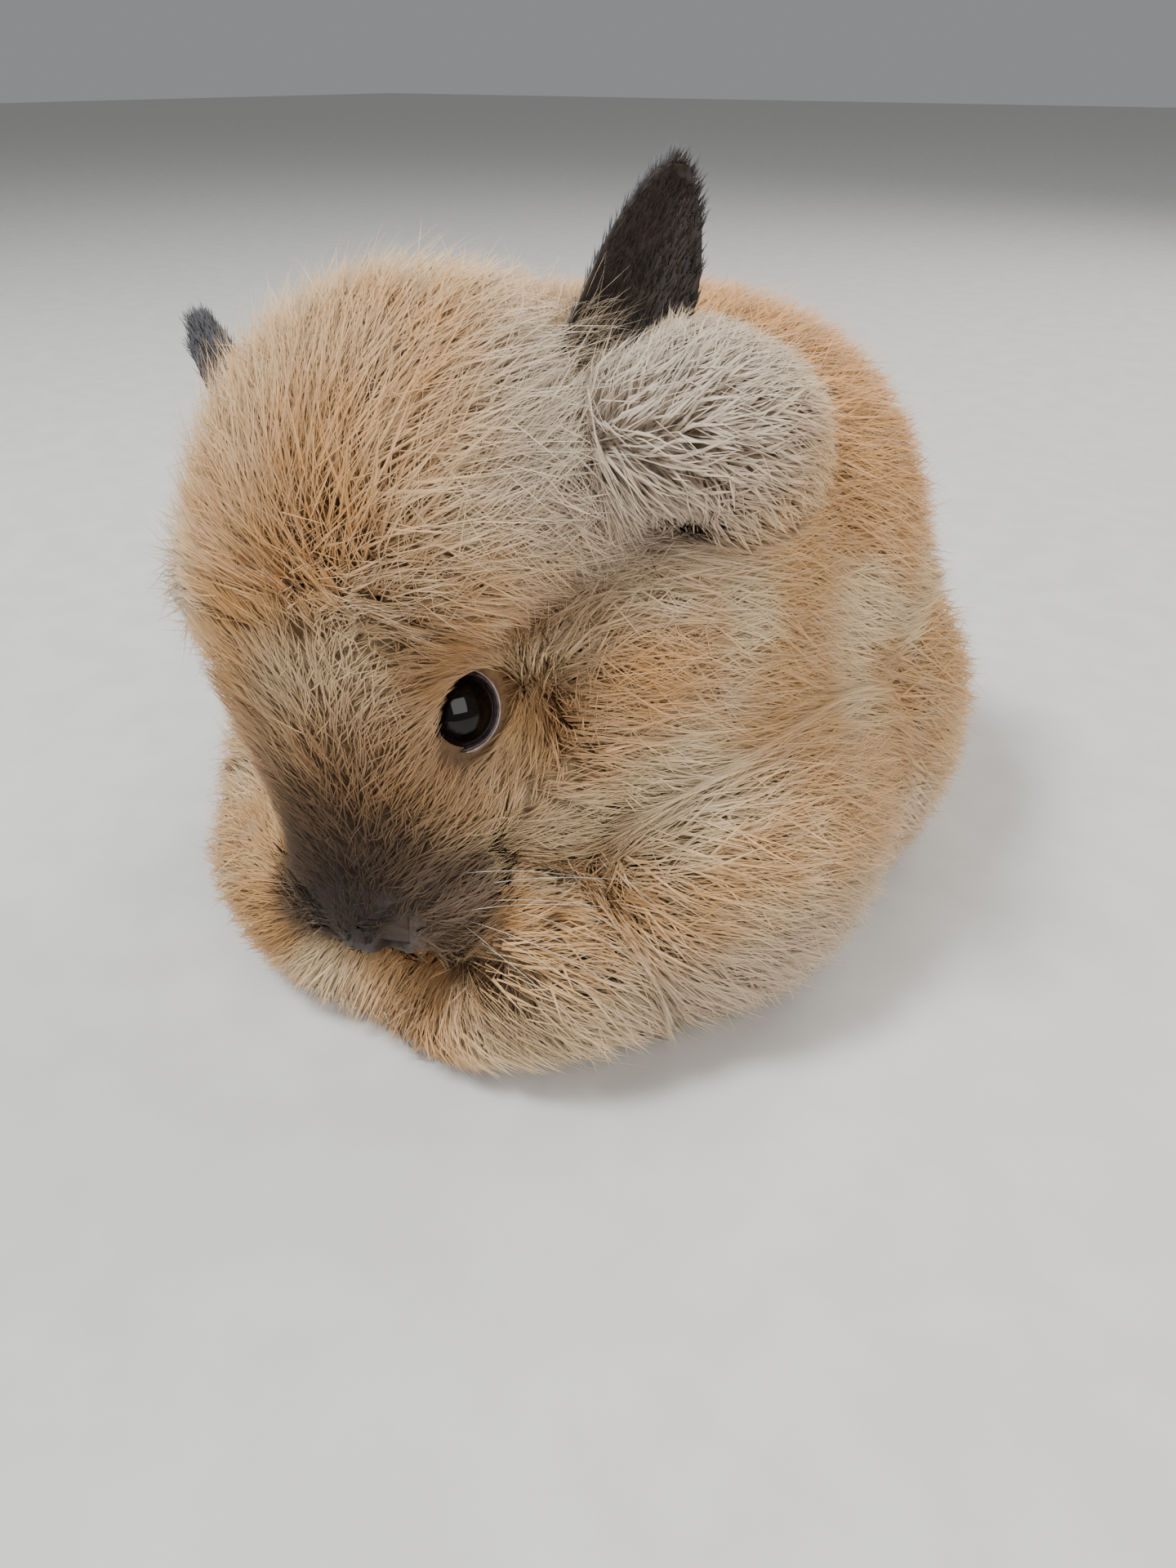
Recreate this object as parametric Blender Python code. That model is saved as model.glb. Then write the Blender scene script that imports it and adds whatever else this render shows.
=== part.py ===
"""Life-size lionhead rabbit kit, crouched, with its head low and tilted.

Metres, +Z up. The nose points to -Y, the animal's left side is +X, and its feet rest on z = 0.
Sizes are those of a kit of about eight weeks. The coat is one soft shape out to the tips of the
fur, the blend of the forms in COAT, and every coated part is a piece of it. The head's own frame
has its origin midway between the eyes, with the nose towards -Y.
"""

import math
from dataclasses import dataclass, replace

import bmesh
import bpy
import numpy as np
from mathutils import Matrix, Vector

GAP = 0.0003
ROOM = 0.0005
SPACE_DETAIL = (32, 20)
HEM = 0.0012
FLOOR_SIZE = 0.4
# Each form's sphere is spun by this much for each metre of its centre's coordinates, so that no
# two forms have edges in one plane.
SPIN = 53.0

HEAD_ORIGIN = Vector((-0.0011, -0.0860, 0.0664))
HEAD_YAW = math.radians(14)
HEAD_PITCH = math.radians(29.5)
HEAD_ROLL = math.radians(-17)


@dataclass(frozen=True)
class Form:
    """A rounded form: its centre and half sizes, in the head's frame if it is on the head."""

    centre: tuple
    half: tuple
    on_head: bool = False
    power: float = 2.2


# The forms whose blend is the coat, out to the tips of the fur.
COAT = {
    "body": Form((-0.0005, 0.0025, 0.0630), (0.0620, 0.0680, 0.0670)),
    "flank_left": Form((0.0425, -0.0370, 0.0290), (0.0355, 0.0480, 0.0360)),
    "flank_right": Form((-0.0455, -0.0420, 0.0310), (0.0365, 0.0480, 0.0350)),
    "haunch_left": Form((0.0435, 0.0180, 0.0300), (0.0320, 0.0370, 0.0410)),
    "haunch_right": Form((-0.0435, 0.0190, 0.0310), (0.0310, 0.0370, 0.0410)),
    "mane": Form((-0.0055, -0.0420, 0.0640), (0.0630, 0.0500, 0.0700)),
    "bib": Form((-0.0030, -0.0780, 0.0190), (0.0600, 0.0380, 0.0270)),
    "mane_left": Form((0.0300, -0.0440, 0.1120), (0.0280, 0.0280, 0.0190)),
    "mane_right": Form((-0.0485, -0.0620, 0.0770), (0.0325, 0.0320, 0.0280)),
    "crown": Form((0.0060, 0.0315, 0.0240), (0.0400, 0.0380, 0.0365), on_head=True),
    "cheeks": Form((0.0, 0.0140, -0.0160), (0.0380, 0.0280, 0.0300), on_head=True),
    "brow": Form((0.0, 0.0010, 0.0020), (0.0230, 0.0240, 0.0210), on_head=True),
    "tail": Form((-0.0020, 0.0720, 0.0400), (0.0160, 0.0180, 0.0210)),
}
COAT_BLEND = 0.0045
# The hollows in the coat that leave the muzzle and the eyes free.
HOLLOWS = (
    Form((0.0, -0.0500, -0.0130), (0.0230, 0.0310, 0.0175), on_head=True, power=2.0),
    Form((0.0290, -0.0030, 0.0050), (0.0140, 0.0140, 0.0125), on_head=True, power=2.0),
    Form((-0.0290, -0.0030, 0.0050), (0.0140, 0.0140, 0.0125), on_head=True, power=2.0),
)

# The spaces that the parts fill, from the first to be given its space to the last.
HEAD_SPACE = Form((-0.011, 0.016, 0.019), (0.083, 0.065, 0.060), on_head=True, power=2.0)
NECK_SPACE = Form((0.0, -0.074, 0.058), (0.092, 0.062, 0.100), power=2.0)
HAUNCH_SPACE = Form((0.050, 0.027, 0.034), (0.031, 0.039, 0.042), power=2.0)
TAIL_SPACE = Form((-0.002, 0.079, 0.040), (0.024, 0.022, 0.028), power=2.0)

# The forms of the short-haired face: skull, bridge, muzzle, whisker pads, chin and nose.
FACE = (
    Form((0.0, 0.0100, -0.0040), (0.0200, 0.0300, 0.0220), on_head=True, power=2.0),
    Form((0.0, -0.0120, -0.0080), (0.0190, 0.0200, 0.0170), on_head=True, power=2.0),
    Form((0.0, -0.0250, -0.0145), (0.0165, 0.0155, 0.0125), on_head=True, power=2.0),
    Form((0.0105, -0.0275, -0.0205), (0.0095, 0.0110, 0.0090), on_head=True, power=2.0),
    Form((-0.0105, -0.0275, -0.0205), (0.0095, 0.0110, 0.0090), on_head=True, power=2.0),
    Form((0.0, -0.0250, -0.0280), (0.0080, 0.0085, 0.0055), on_head=True, power=2.0),
    Form((0.0, -0.0385, -0.0145), (0.0060, 0.0042, 0.0042), on_head=True, power=2.0),
)
# Hollows of the muzzle: the mouth's line, the groove under the nose, and each nostril.
MOUTH = Form((0.0, -0.0360, -0.0265), (0.0110, 0.0070, 0.0006), on_head=True, power=2.0)
LIP_GROOVE = Form((0.0, -0.0420, -0.0210), (0.0005, 0.0045, 0.0050), on_head=True, power=2.0)
NOSTRIL = Form((0.0038, -0.0412, -0.0150), (0.0019, 0.0022, 0.0007), on_head=True, power=2.0)
NOSTRIL_SLANT = math.radians(-40)

EYE_CENTRE = Vector((0.0135, 0.0, 0.0))
EYE_RADIUS = 0.0075
EYE_FACING = Vector((0.93, -0.26, 0.25))
LID_THICKNESS = 0.0012
LID_OPENING = (0.0064, 0.0053)
LID_SLANT = math.radians(10)
LID_SIDES = 20

EAR_BASE = Vector((0.0220, 0.0340, 0.0090))
EAR_AXES = {1: Vector((0.347, 0.861, 0.370)), -1: Vector((-0.632, 0.558, 0.538))}
EAR_MOUTHS = {1: Vector((0.89, -0.45, 0.05)), -1: Vector((-0.93, -0.05, 0.37))}
EAR_LENGTHS = {1: 0.067, -1: 0.062}
EAR_WALL = 0.0016
# How far the middle of an ear bows out towards the mouth of its cup.
EAR_BOW = 0.0045
# Each row is a section across the ear: share of its length, half width, depth of the cup.
EAR_SECTIONS = (
    (0.00, 0.0070, 0.0100),
    (0.14, 0.0088, 0.0112),
    (0.30, 0.0110, 0.0105),
    (0.48, 0.0125, 0.0090),
    (0.66, 0.0122, 0.0074),
    (0.80, 0.0102, 0.0060),
    (0.91, 0.0070, 0.0044),
    (0.98, 0.0032, 0.0030),
)
EAR_STEPS = 8

# Each row is a section across a foot or leg: the middle point, half width, half height.
HIND_FOOT = (
    ((0.0490, -0.0240, 0.0050), 0.0040, 0.0052),
    ((0.0490, -0.0200, 0.0062), 0.0072, 0.0068),
    ((0.0480, -0.0080, 0.0068), 0.0084, 0.0072),
    ((0.0460, 0.0120, 0.0070), 0.0076, 0.0074),
    ((0.0440, 0.0340, 0.0078), 0.0074, 0.0082),
    ((0.0430, 0.0480, 0.0090), 0.0070, 0.0092),
    ((0.0430, 0.0540, 0.0105), 0.0045, 0.0070),
)
FORELEG = (
    ((0.0190, -0.1010, 0.0048), 0.0036, 0.0050),
    ((0.0190, -0.0975, 0.0058), 0.0060, 0.0064),
    ((0.0190, -0.0880, 0.0064), 0.0068, 0.0068),
    ((0.0195, -0.0780, 0.0090), 0.0064, 0.0070),
    ((0.0205, -0.0680, 0.0160), 0.0068, 0.0078),
    ((0.0215, -0.0600, 0.0260), 0.0085, 0.0095),
    ((0.0215, -0.0520, 0.0360), 0.0100, 0.0110),
)
LEG_SIDES = 12


# Where each coated part is drawn from, and how many meridians and rings its skin has.
PIECES = {
    "head": (Vector((-0.008, -0.066, 0.088)), (44, 28)),
    "neck": (Vector((-0.003, -0.064, 0.024)), (44, 28)),
    "torso": (Vector((-0.001, 0.006, 0.060)), (48, 30)),
    "tail": (Vector((-0.002, 0.070, 0.040)), (20, 12)),
    "hindleg_left": (Vector((0.046, 0.024, 0.040)), (28, 18)),
    "hindleg_right": (Vector((-0.046, 0.024, 0.040)), (28, 18)),
}
# How far a skin may reach from where it is drawn, in steps, and how far past its part's space.
REACHES = np.linspace(0, 0.16, 161)
OVERRUN = 0.004


def head_matrix():
    """The turn and place of the head's own frame."""
    turn = Matrix.Rotation(HEAD_YAW, 4, "Z") @ Matrix.Rotation(HEAD_PITCH, 4, "X")
    return Matrix.Translation(HEAD_ORIGIN) @ turn @ Matrix.Rotation(HEAD_ROLL, 4, "Y")


def form_distance(points, form, side=1):
    """Distance from each point to a form, mirrored for side -1; below zero inside it."""
    if form.on_head:
        frame = np.array(head_matrix())
        points = (points - frame[:3, 3]) @ frame[:3, :3]
    offset = points * np.array((side, 1, 1)) - np.array(form.centre)
    shares = np.abs(offset / np.array(form.half))
    reach = np.maximum((shares ** form.power).sum(axis=-1) ** (1 / form.power), 1e-6)
    return np.linalg.norm(offset, axis=-1) * (1 - 1 / reach)


def coat_distance(points):
    """Distance from each point to the tips of the coat, below zero inside it."""
    near = np.stack([form_distance(points, form) for form in COAT.values()])
    blend = np.logaddexp.reduce(-near / COAT_BLEND, axis=0)
    hollows = [-form_distance(points, hollow) / COAT_BLEND for hollow in HOLLOWS]
    return COAT_BLEND * np.logaddexp.reduce([-blend] + hollows, axis=0)


def finish(name, base_color, roughness):
    """A plain material with one colour."""
    material = bpy.data.materials.new(name)
    material.use_nodes = True
    shader = material.node_tree.nodes["Principled BSDF"]
    shader.inputs["Base Color"].default_value = (*base_color, 1.0)
    shader.inputs["Roughness"].default_value = roughness
    shader.inputs["Metallic"].default_value = 0.0
    return material


def object_from(bm, name):
    """Makes an object of a bmesh, with its faces pointing out."""
    bmesh.ops.recalc_face_normals(bm, faces=bm.faces)
    mesh = bpy.data.meshes.new(name)
    bm.to_mesh(mesh)
    bm.free()
    obj = bpy.data.objects.new(name, mesh)
    bpy.context.scene.collection.objects.link(obj)
    return obj


def remove(obj):
    """Deletes an object and its mesh."""
    mesh = obj.data
    bpy.data.objects.remove(obj)
    bpy.data.meshes.remove(mesh)


def loft(rings, name, tip=None):
    """A closed skin through rings of equal numbers of points, with a flat cap, and a tip if given."""
    bm = bmesh.new()
    loops = [[bm.verts.new(point) for point in ring] for ring in rings]
    sides = len(loops[0])
    for near, far in zip(loops, loops[1:]):
        for i in range(sides):
            j = (i + 1) % sides
            bm.faces.new((near[i], near[j], far[j], far[i]))
    bm.faces.new(loops[0])
    if tip is None:
        bm.faces.new(loops[-1])
        return object_from(bm, name)
    end = bm.verts.new(tip)
    for i in range(sides):
        bm.faces.new((loops[-1][i], loops[-1][(i + 1) % sides], end))
    return object_from(bm, name)


def grown(form, by):
    """A form made larger on every side."""
    return replace(form, half=tuple(half + by for half in form.half))


def solid_form(name, form, side=1, detail=(24, 14), turn=None):
    """A form as a closed mesh, mirrored for side -1, and turned about its centre if asked."""
    bm = bmesh.new()
    bmesh.ops.create_uvsphere(bm, u_segments=detail[0], v_segments=detail[1], radius=1.0)
    bmesh.ops.transform(bm, matrix=Matrix.Rotation(SPIN * sum(form.centre), 4, "Z"), verts=bm.verts)
    for vert in bm.verts:
        reach = sum(abs(part) ** form.power for part in vert.co) ** (-1 / form.power)
        vert.co = Vector(a * b * reach for a, b in zip(vert.co, form.half))
    if turn:
        bmesh.ops.transform(bm, matrix=turn, verts=bm.verts)
    centre = Vector((form.centre[0] * side, form.centre[1], form.centre[2]))
    bmesh.ops.translate(bm, verts=bm.verts, vec=centre)
    if form.on_head:
        bmesh.ops.transform(bm, matrix=head_matrix(), verts=bm.verts)
    return object_from(bm, name)


def boolean(obj, other, operation):
    """Applies one Boolean to obj; other is an object, or a collection for a union."""
    modifier = obj.modifiers.new("join", "BOOLEAN")
    modifier.operation = operation
    modifier.solver = "MANIFOLD"
    if isinstance(other, bpy.types.Collection):
        modifier.operand_type = "COLLECTION"
        modifier.collection = other
    else:
        modifier.object = other
    graph = bpy.context.evaluated_depsgraph_get()
    made = bpy.data.meshes.new_from_object(obj.evaluated_get(graph))
    obj.modifiers.clear()
    old = obj.data
    obj.data = made
    bpy.data.meshes.remove(old)


def fuse(obj, pieces):
    """Joins pieces to obj as one body, and deletes them."""
    group = bpy.data.collections.new("pieces")
    bpy.context.scene.collection.children.link(group)
    for piece in pieces:
        group.objects.link(piece)
    boolean(obj, group, "UNION")
    for piece in pieces:
        remove(piece)
    bpy.data.collections.remove(group)


def cut(obj, cutters):
    """Takes each cutter out of obj and deletes it."""
    for cutter in cutters:
        boolean(obj, cutter, "DIFFERENCE")
        remove(cutter)


def keep_within(obj, space):
    """Keeps only what lies inside space, and deletes space."""
    boolean(obj, space, "INTERSECT")
    remove(space)


def below(height):
    """A block that takes away all that is under a height."""
    bm = bmesh.new()
    bmesh.ops.create_cube(bm, size=FLOOR_SIZE)
    bmesh.ops.translate(bm, verts=bm.verts, vec=Vector((0, 0, height - FLOOR_SIZE / 2)))
    return object_from(bm, "below")


def keep_largest(obj):
    """Keeps the largest closed surface of obj."""
    bm = bmesh.new()
    bm.from_mesh(obj.data)
    left = set(bm.faces)
    groups = []
    while left:
        reached = [left.pop()]
        for face in reached:
            beside = {other for edge in face.edges for other in edge.link_faces} & left
            left -= beside
            reached.extend(beside)
        groups.append(reached)
    groups.sort(key=len)
    for group in groups[:-1]:
        bmesh.ops.delete(bm, geom=group, context="FACES")
    bm.to_mesh(obj.data)
    bm.free()


def coat_piece(name, space=None, side=1):
    """The coat round one part, out to its tips or to a little beyond the part's space."""
    centre, detail = PIECES[name]
    bm = bmesh.new()
    bmesh.ops.create_uvsphere(bm, u_segments=detail[0], v_segments=detail[1], radius=1.0)
    ways = np.array([vert.co for vert in bm.verts])
    points = np.array(centre) + ways[:, None, :] * REACHES[None, :, None]
    beyond = coat_distance(points)
    if space:
        beyond = np.maximum(beyond, form_distance(points, space, side) - OVERRUN)
    for vert, way, row in zip(bm.verts, ways, beyond):
        first_out = max(int((row > 0).argmax()), 1)
        step = slice(first_out - 1, first_out + 1)
        vert.co = centre + Vector(way) * np.interp(0, row[step], REACHES[step])
    return object_from(bm, name)


def eyeball(name, side, radius=EYE_RADIUS):
    """One eye, as a ball."""
    form = Form(tuple(EYE_CENTRE), (radius,) * 3, on_head=True, power=2.0)
    return solid_form(name, form, side, detail=(16, 10))


def lid_opening(side):
    """The almond between the lids, as a bar along the way the eye faces."""
    facing = Vector((EYE_FACING.x * side, EYE_FACING.y, EYE_FACING.z)).normalized()
    level = Vector((0, math.cos(LID_SLANT), math.sin(LID_SLANT)))
    long_way = (level - facing * level.dot(facing)).normalized() * LID_OPENING[0]
    short_way = facing.cross(long_way).normalized() * LID_OPENING[1]
    centre = Vector((EYE_CENTRE.x * side, 0, 0))
    rings = []
    for reach in (EYE_RADIUS * 0.45, EYE_RADIUS * 2):
        ring = []
        for step in range(LID_SIDES):
            angle = math.tau * step / LID_SIDES
            out = long_way * math.cos(angle) + short_way * math.sin(angle)
            ring.append(head_matrix() @ (centre + facing * reach + out))
        rings.append(ring)
    return loft(rings, "opening")


def ear(name, side, room=False):
    """One ear as a cupped leaf; as room it is closed over its cup and a little larger."""
    frame = head_matrix()
    axis = (frame.to_3x3() @ EAR_AXES[side]).normalized()
    mouth = frame.to_3x3() @ EAR_MOUTHS[side]
    mouth = (mouth - axis * mouth.dot(axis)).normalized()
    across = axis.cross(mouth)
    grow = ROOM if room else 0.0
    base = frame @ Vector((EAR_BASE.x * side, EAR_BASE.y, EAR_BASE.z))
    rings = []
    for share, half_width, depth in EAR_SECTIONS:
        bow = EAR_BOW * 4 * share * (1 - share)
        middle = base + axis * EAR_LENGTHS[side] * share + mouth * bow
        if share == 0:
            middle -= axis * grow
        outer, inner = [], []
        for step in range(EAR_STEPS + 1):
            u = 2 * step / EAR_STEPS - 1
            bulge = 1 - u * u
            outer.append(middle + across * (half_width + grow) * u - mouth * (depth + grow) * bulge)
            shallow = depth * bulge - EAR_WALL * (0.35 + 0.65 * bulge)
            if room:
                shallow = -grow - 0.35 * EAR_WALL
            inner.append(middle + across * (half_width + grow) * 0.94 * u - mouth * shallow)
        rings.append(outer + inner[::-1])
    tip = base + axis * (EAR_LENGTHS[side] + grow)
    return loft(rings, name, tip)


def limb(name, sections, side, grow=0.0):
    """A leg or foot through its sections."""
    middles = [Vector((x * side, y, z)) for (x, y, z), _, _ in sections]
    last = len(sections) - 1
    rings = []
    for i, (_, half_width, half_height) in enumerate(sections):
        along = (middles[min(i + 1, last)] - middles[max(i - 1, 0)]).normalized()
        across = along.cross(Vector((0, 0, 1))).normalized()
        up = across.cross(along)
        ring = []
        for step in range(LEG_SIDES):
            angle = math.tau * step / LEG_SIDES
            out = across * (half_width + grow) * math.cos(angle)
            ring.append(middles[i] + out + up * (half_height + grow) * math.sin(angle))
        rings.append(ring)
    return loft(rings, name)


def face():
    """The skull and muzzle, with whisker pads, chin, nose and the mounds of the eyes."""
    head = solid_form("head", FACE[0], detail=(18, 11))
    pieces = [solid_form("piece", form, detail=(14, 9)) for form in FACE[1:]]
    pieces += [eyeball("mound", side, EYE_RADIUS + GAP + LID_THICKNESS) for side in (1, -1)]
    fuse(head, pieces)
    return head


def face_hollows():
    """What is cut into the face: sockets, lid openings, nostrils, the mouth and the lip's groove."""
    cutters = [solid_form("hollow", form, detail=(16, 6)) for form in (MOUTH, LIP_GROOVE)]
    for side in (1, -1):
        slant = Matrix.Rotation(NOSTRIL_SLANT * side, 4, "Y")
        cutters.append(solid_form("nostril", NOSTRIL, side, detail=(12, 6), turn=slant))
        cutters += [eyeball("socket", side, EYE_RADIUS + GAP), lid_opening(side)]
    return cutters


def face_room():
    """Room for the face in the coat of the parts round it."""
    return [solid_form("room", grown(form, ROOM)) for form in FACE]


def ear_room():
    """Room for both ears."""
    return [ear("room", side, room=True) for side in (1, -1)]


def limb_room(sections):
    """Room for a leg or foot on both sides."""
    return [limb("room", sections, side, grow=ROOM) for side in (1, -1)]


def region(space, side=1, grow=0.0):
    """A space as a solid; with grow it is the cutter that makes room for the part that fills it."""
    return solid_form("space", grown(space, grow), side, SPACE_DETAIL)


def build_head():
    """The face with the crown and cheeks of the mane."""
    head = face()
    wool = coat_piece("head", HEAD_SPACE)
    keep_within(wool, region(HEAD_SPACE))
    fuse(head, [wool])
    cut(head, face_hollows() + ear_room())
    return head


def build_neck():
    """The mane behind and beside the face, and the bib under it."""
    neck = coat_piece("neck", NECK_SPACE)
    keep_within(neck, region(NECK_SPACE))
    cut(neck, [region(HEAD_SPACE, grow=GAP), below(HEM)] + face_room() + ear_room() + limb_room(FORELEG))
    return neck


def build_torso():
    """The back, belly and flanks."""
    torso = coat_piece("torso")
    cut(torso, [region(space, grow=GAP) for space in (HEAD_SPACE, NECK_SPACE, TAIL_SPACE)] + [below(HEM)])
    cut(torso, [region(HAUNCH_SPACE, side, GAP) for side in (1, -1)])
    cut(torso, limb_room(HIND_FOOT) + limb_room(FORELEG) + ear_room())
    return torso


def build_tail():
    """The short tail, carried low in its tuft."""
    tail = coat_piece("tail", TAIL_SPACE)
    keep_within(tail, region(TAIL_SPACE))
    return tail


def build_hindleg(name, side):
    """One haunch with its long foot."""
    leg = coat_piece(name, HAUNCH_SPACE, side)
    keep_within(leg, region(HAUNCH_SPACE, side))
    cut(leg, [below(HEM), region(NECK_SPACE, grow=GAP), region(TAIL_SPACE, grow=GAP)])
    fuse(leg, [limb("foot", HIND_FOOT, side)])
    cut(leg, [below(0)])
    return leg


def build_foreleg(name, side):
    """One foreleg with its paw."""
    leg = limb(name, FORELEG, side)
    cut(leg, [below(0), region(HEAD_SPACE, grow=GAP)] + face_room())
    return leg


def centre_on_footprint(objects):
    """Moves everything so that the origin is under the middle of the whole animal."""
    points = np.array([vert.co for obj in objects for vert in obj.data.vertices])
    middle = (points.min(axis=0) + points.max(axis=0)) / 2
    shift = Matrix.Translation((-middle[0], -middle[1], 0))
    for obj in objects:
        obj.data.transform(shift)


def main():
    """Builds every part of the rabbit."""
    for obj in list(bpy.data.objects):
        bpy.data.objects.remove(obj)
    coat = finish("coat", (0.62, 0.40, 0.20), 0.9)
    dark = finish("dark_fur", (0.05, 0.045, 0.045), 0.85)
    eye = finish("eye", (0.012, 0.008, 0.007), 0.05)
    parts = [(build_head(), coat), (build_neck(), coat), (build_torso(), coat), (build_tail(), coat)]
    for side, word in ((1, "left"), (-1, "right")):
        parts.append((build_hindleg(f"hindleg_{word}", side), coat))
        parts.append((build_foreleg(f"foreleg_{word}", side), coat))
        parts.append((ear(f"ear_{word}", side), dark))
        parts.append((eyeball(f"eye_{word}", side), eye))
    for obj, material in parts:
        keep_largest(obj)
        obj.data.materials.clear()
        obj.data.materials.append(material)
        obj.data.shade_smooth()
    centre_on_footprint([obj for obj, _ in parts])


if __name__ == "__main__":
    main()
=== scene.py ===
"""Dresses the lionhead rabbit kit: skin, coat, eyes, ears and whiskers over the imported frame.

Metres, +Z up, in the frame's own axes: the nose points to -Y and the animal's left side is +X.
The coat's tips follow the same blend of rounded forms as the solids. The skin lies inside them by
the coat's depth, and every tuft runs from the skin out to the tips, the way that the coat lies.
"""

import logging
import math
from dataclasses import dataclass, field, replace
from enum import Enum

import bmesh
import bpy
import numpy as np
from mathutils import Matrix, Vector

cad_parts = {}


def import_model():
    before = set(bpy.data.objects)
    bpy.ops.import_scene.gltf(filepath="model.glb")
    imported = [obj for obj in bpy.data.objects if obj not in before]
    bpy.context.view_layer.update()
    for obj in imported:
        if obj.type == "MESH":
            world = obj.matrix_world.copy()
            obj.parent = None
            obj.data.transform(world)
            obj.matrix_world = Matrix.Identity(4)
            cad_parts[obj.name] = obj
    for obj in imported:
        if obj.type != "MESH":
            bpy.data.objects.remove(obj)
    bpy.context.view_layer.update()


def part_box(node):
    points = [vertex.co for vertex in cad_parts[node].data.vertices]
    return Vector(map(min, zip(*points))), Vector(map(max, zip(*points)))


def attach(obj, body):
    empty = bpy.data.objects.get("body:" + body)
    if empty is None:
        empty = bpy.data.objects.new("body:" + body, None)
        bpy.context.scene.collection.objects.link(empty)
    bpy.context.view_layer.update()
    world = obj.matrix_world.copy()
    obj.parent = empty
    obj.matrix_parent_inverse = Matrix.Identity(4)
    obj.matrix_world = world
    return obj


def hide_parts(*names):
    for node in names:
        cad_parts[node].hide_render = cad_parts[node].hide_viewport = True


log = logging.getLogger("rabbit")

BODY = "root"
FLESH = ("head", "neck", "torso", "tail", "hindleg_left", "hindleg_right", "foreleg_left", "foreleg_right")


class Side(Enum):
    """The two sides of the animal, as the sign of x."""

    LEFT = 1
    RIGHT = -1

    @property
    def word(self) -> str:
        """The side's name, as the frame's nodes use it."""
        return self.name.lower()


@dataclass(frozen=True)
class Form:
    """A rounded form: its centre and half sizes, in the head's frame if it is on the head."""

    centre: tuple
    half: tuple
    on_head: bool = False
    power: float = 2.2


COAT = {
    "body": Form((-0.0005, 0.0025, 0.0630), (0.0620, 0.0680, 0.0670)),
    "flank_left": Form((0.0425, -0.0370, 0.0290), (0.0355, 0.0480, 0.0360)),
    "flank_right": Form((-0.0455, -0.0420, 0.0310), (0.0365, 0.0480, 0.0350)),
    "haunch_left": Form((0.0435, 0.0180, 0.0300), (0.0320, 0.0370, 0.0410)),
    "haunch_right": Form((-0.0435, 0.0190, 0.0310), (0.0310, 0.0370, 0.0410)),
    "mane": Form((-0.0055, -0.0420, 0.0640), (0.0630, 0.0500, 0.0700)),
    "bib": Form((-0.0030, -0.0780, 0.0190), (0.0600, 0.0380, 0.0270)),
    "mane_left": Form((0.0300, -0.0440, 0.1120), (0.0280, 0.0280, 0.0190)),
    "mane_right": Form((-0.0485, -0.0620, 0.0770), (0.0325, 0.0320, 0.0280)),
    "crown": Form((0.0060, 0.0315, 0.0240), (0.0400, 0.0380, 0.0365), on_head=True),
    "cheeks": Form((0.0, 0.0140, -0.0160), (0.0380, 0.0280, 0.0300), on_head=True),
    "brow": Form((0.0, 0.0010, 0.0020), (0.0230, 0.0240, 0.0210), on_head=True),
    "tail": Form((-0.0020, 0.0720, 0.0400), (0.0160, 0.0180, 0.0210)),
    "forehead": Form((-0.0040, 0.0065, 0.0160), (0.0270, 0.0205, 0.0240), on_head=True),
    "chin_wool": Form((0.0020, -0.0160, -0.0435), (0.0230, 0.0170, 0.0150), on_head=True),
}
COAT_BLEND = 0.0055
# The hollows in the coat that leave the muzzle and the eyes free.
HOLLOWS = (
    Form((0.0, -0.0470, -0.0190), (0.0205, 0.0265, 0.0165), on_head=True, power=2.0),
    Form((0.0255, -0.0040, 0.0025), (0.0110, 0.0120, 0.0105), on_head=True, power=2.0),
    Form((-0.0255, -0.0040, 0.0025), (0.0110, 0.0120, 0.0105), on_head=True, power=2.0),
)
# Dents in the coat that its skin does not follow: at the ear's mouth and under the brow.
DENTS = (
    Form((0.0350, 0.0580, 0.0230), (0.0080, 0.0130, 0.0095), on_head=True, power=2.0),
    Form((0.0350, -0.0010, 0.0120), (0.0060, 0.0070, 0.0036), on_head=True, power=2.0),
    Form((0.0440, 0.0090, 0.0115), (0.0080, 0.0080, 0.0040), on_head=True, power=2.0),
    Form((0.0560, 0.0210, 0.0105), (0.0100, 0.0090, 0.0044), on_head=True, power=2.0),
)
HOLLOW_BLEND = 0.0030
# The wide blend swells the coat where its forms meet, and this takes the swelling back.
COAT_DRAWN_IN = 0.0010
# The forms of the short-haired face: skull, forehead, bridge, muzzle, whisker pads, chin, nose and lips.
FACE = (
    Form((0.0, 0.0100, -0.0040), (0.0200, 0.0300, 0.0220), on_head=True, power=2.0),
    Form((0.0, 0.0020, 0.0030), (0.0165, 0.0230, 0.0170), on_head=True, power=2.0),
    Form((0.0, -0.0120, -0.0080), (0.0185, 0.0210, 0.0165), on_head=True, power=2.0),
    Form((0.0, -0.0250, -0.0145), (0.0160, 0.0155, 0.0125), on_head=True, power=2.0),
    Form((0.0105, -0.0275, -0.0205), (0.0095, 0.0110, 0.0090), on_head=True, power=2.0),
    Form((-0.0105, -0.0275, -0.0205), (0.0095, 0.0110, 0.0090), on_head=True, power=2.0),
    Form((0.0, -0.0250, -0.0280), (0.0080, 0.0085, 0.0055), on_head=True, power=2.0),
    Form((0.0, -0.0378, -0.0160), (0.0062, 0.0046, 0.0058), on_head=True, power=2.0),
    Form((0.0042, -0.0335, -0.0215), (0.0062, 0.0062, 0.0068), on_head=True, power=2.0),
    Form((-0.0042, -0.0335, -0.0215), (0.0062, 0.0062, 0.0068), on_head=True, power=2.0),
)
FACE_BLEND = 0.0016
FACE_DRAWN_IN = 0.0006
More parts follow.
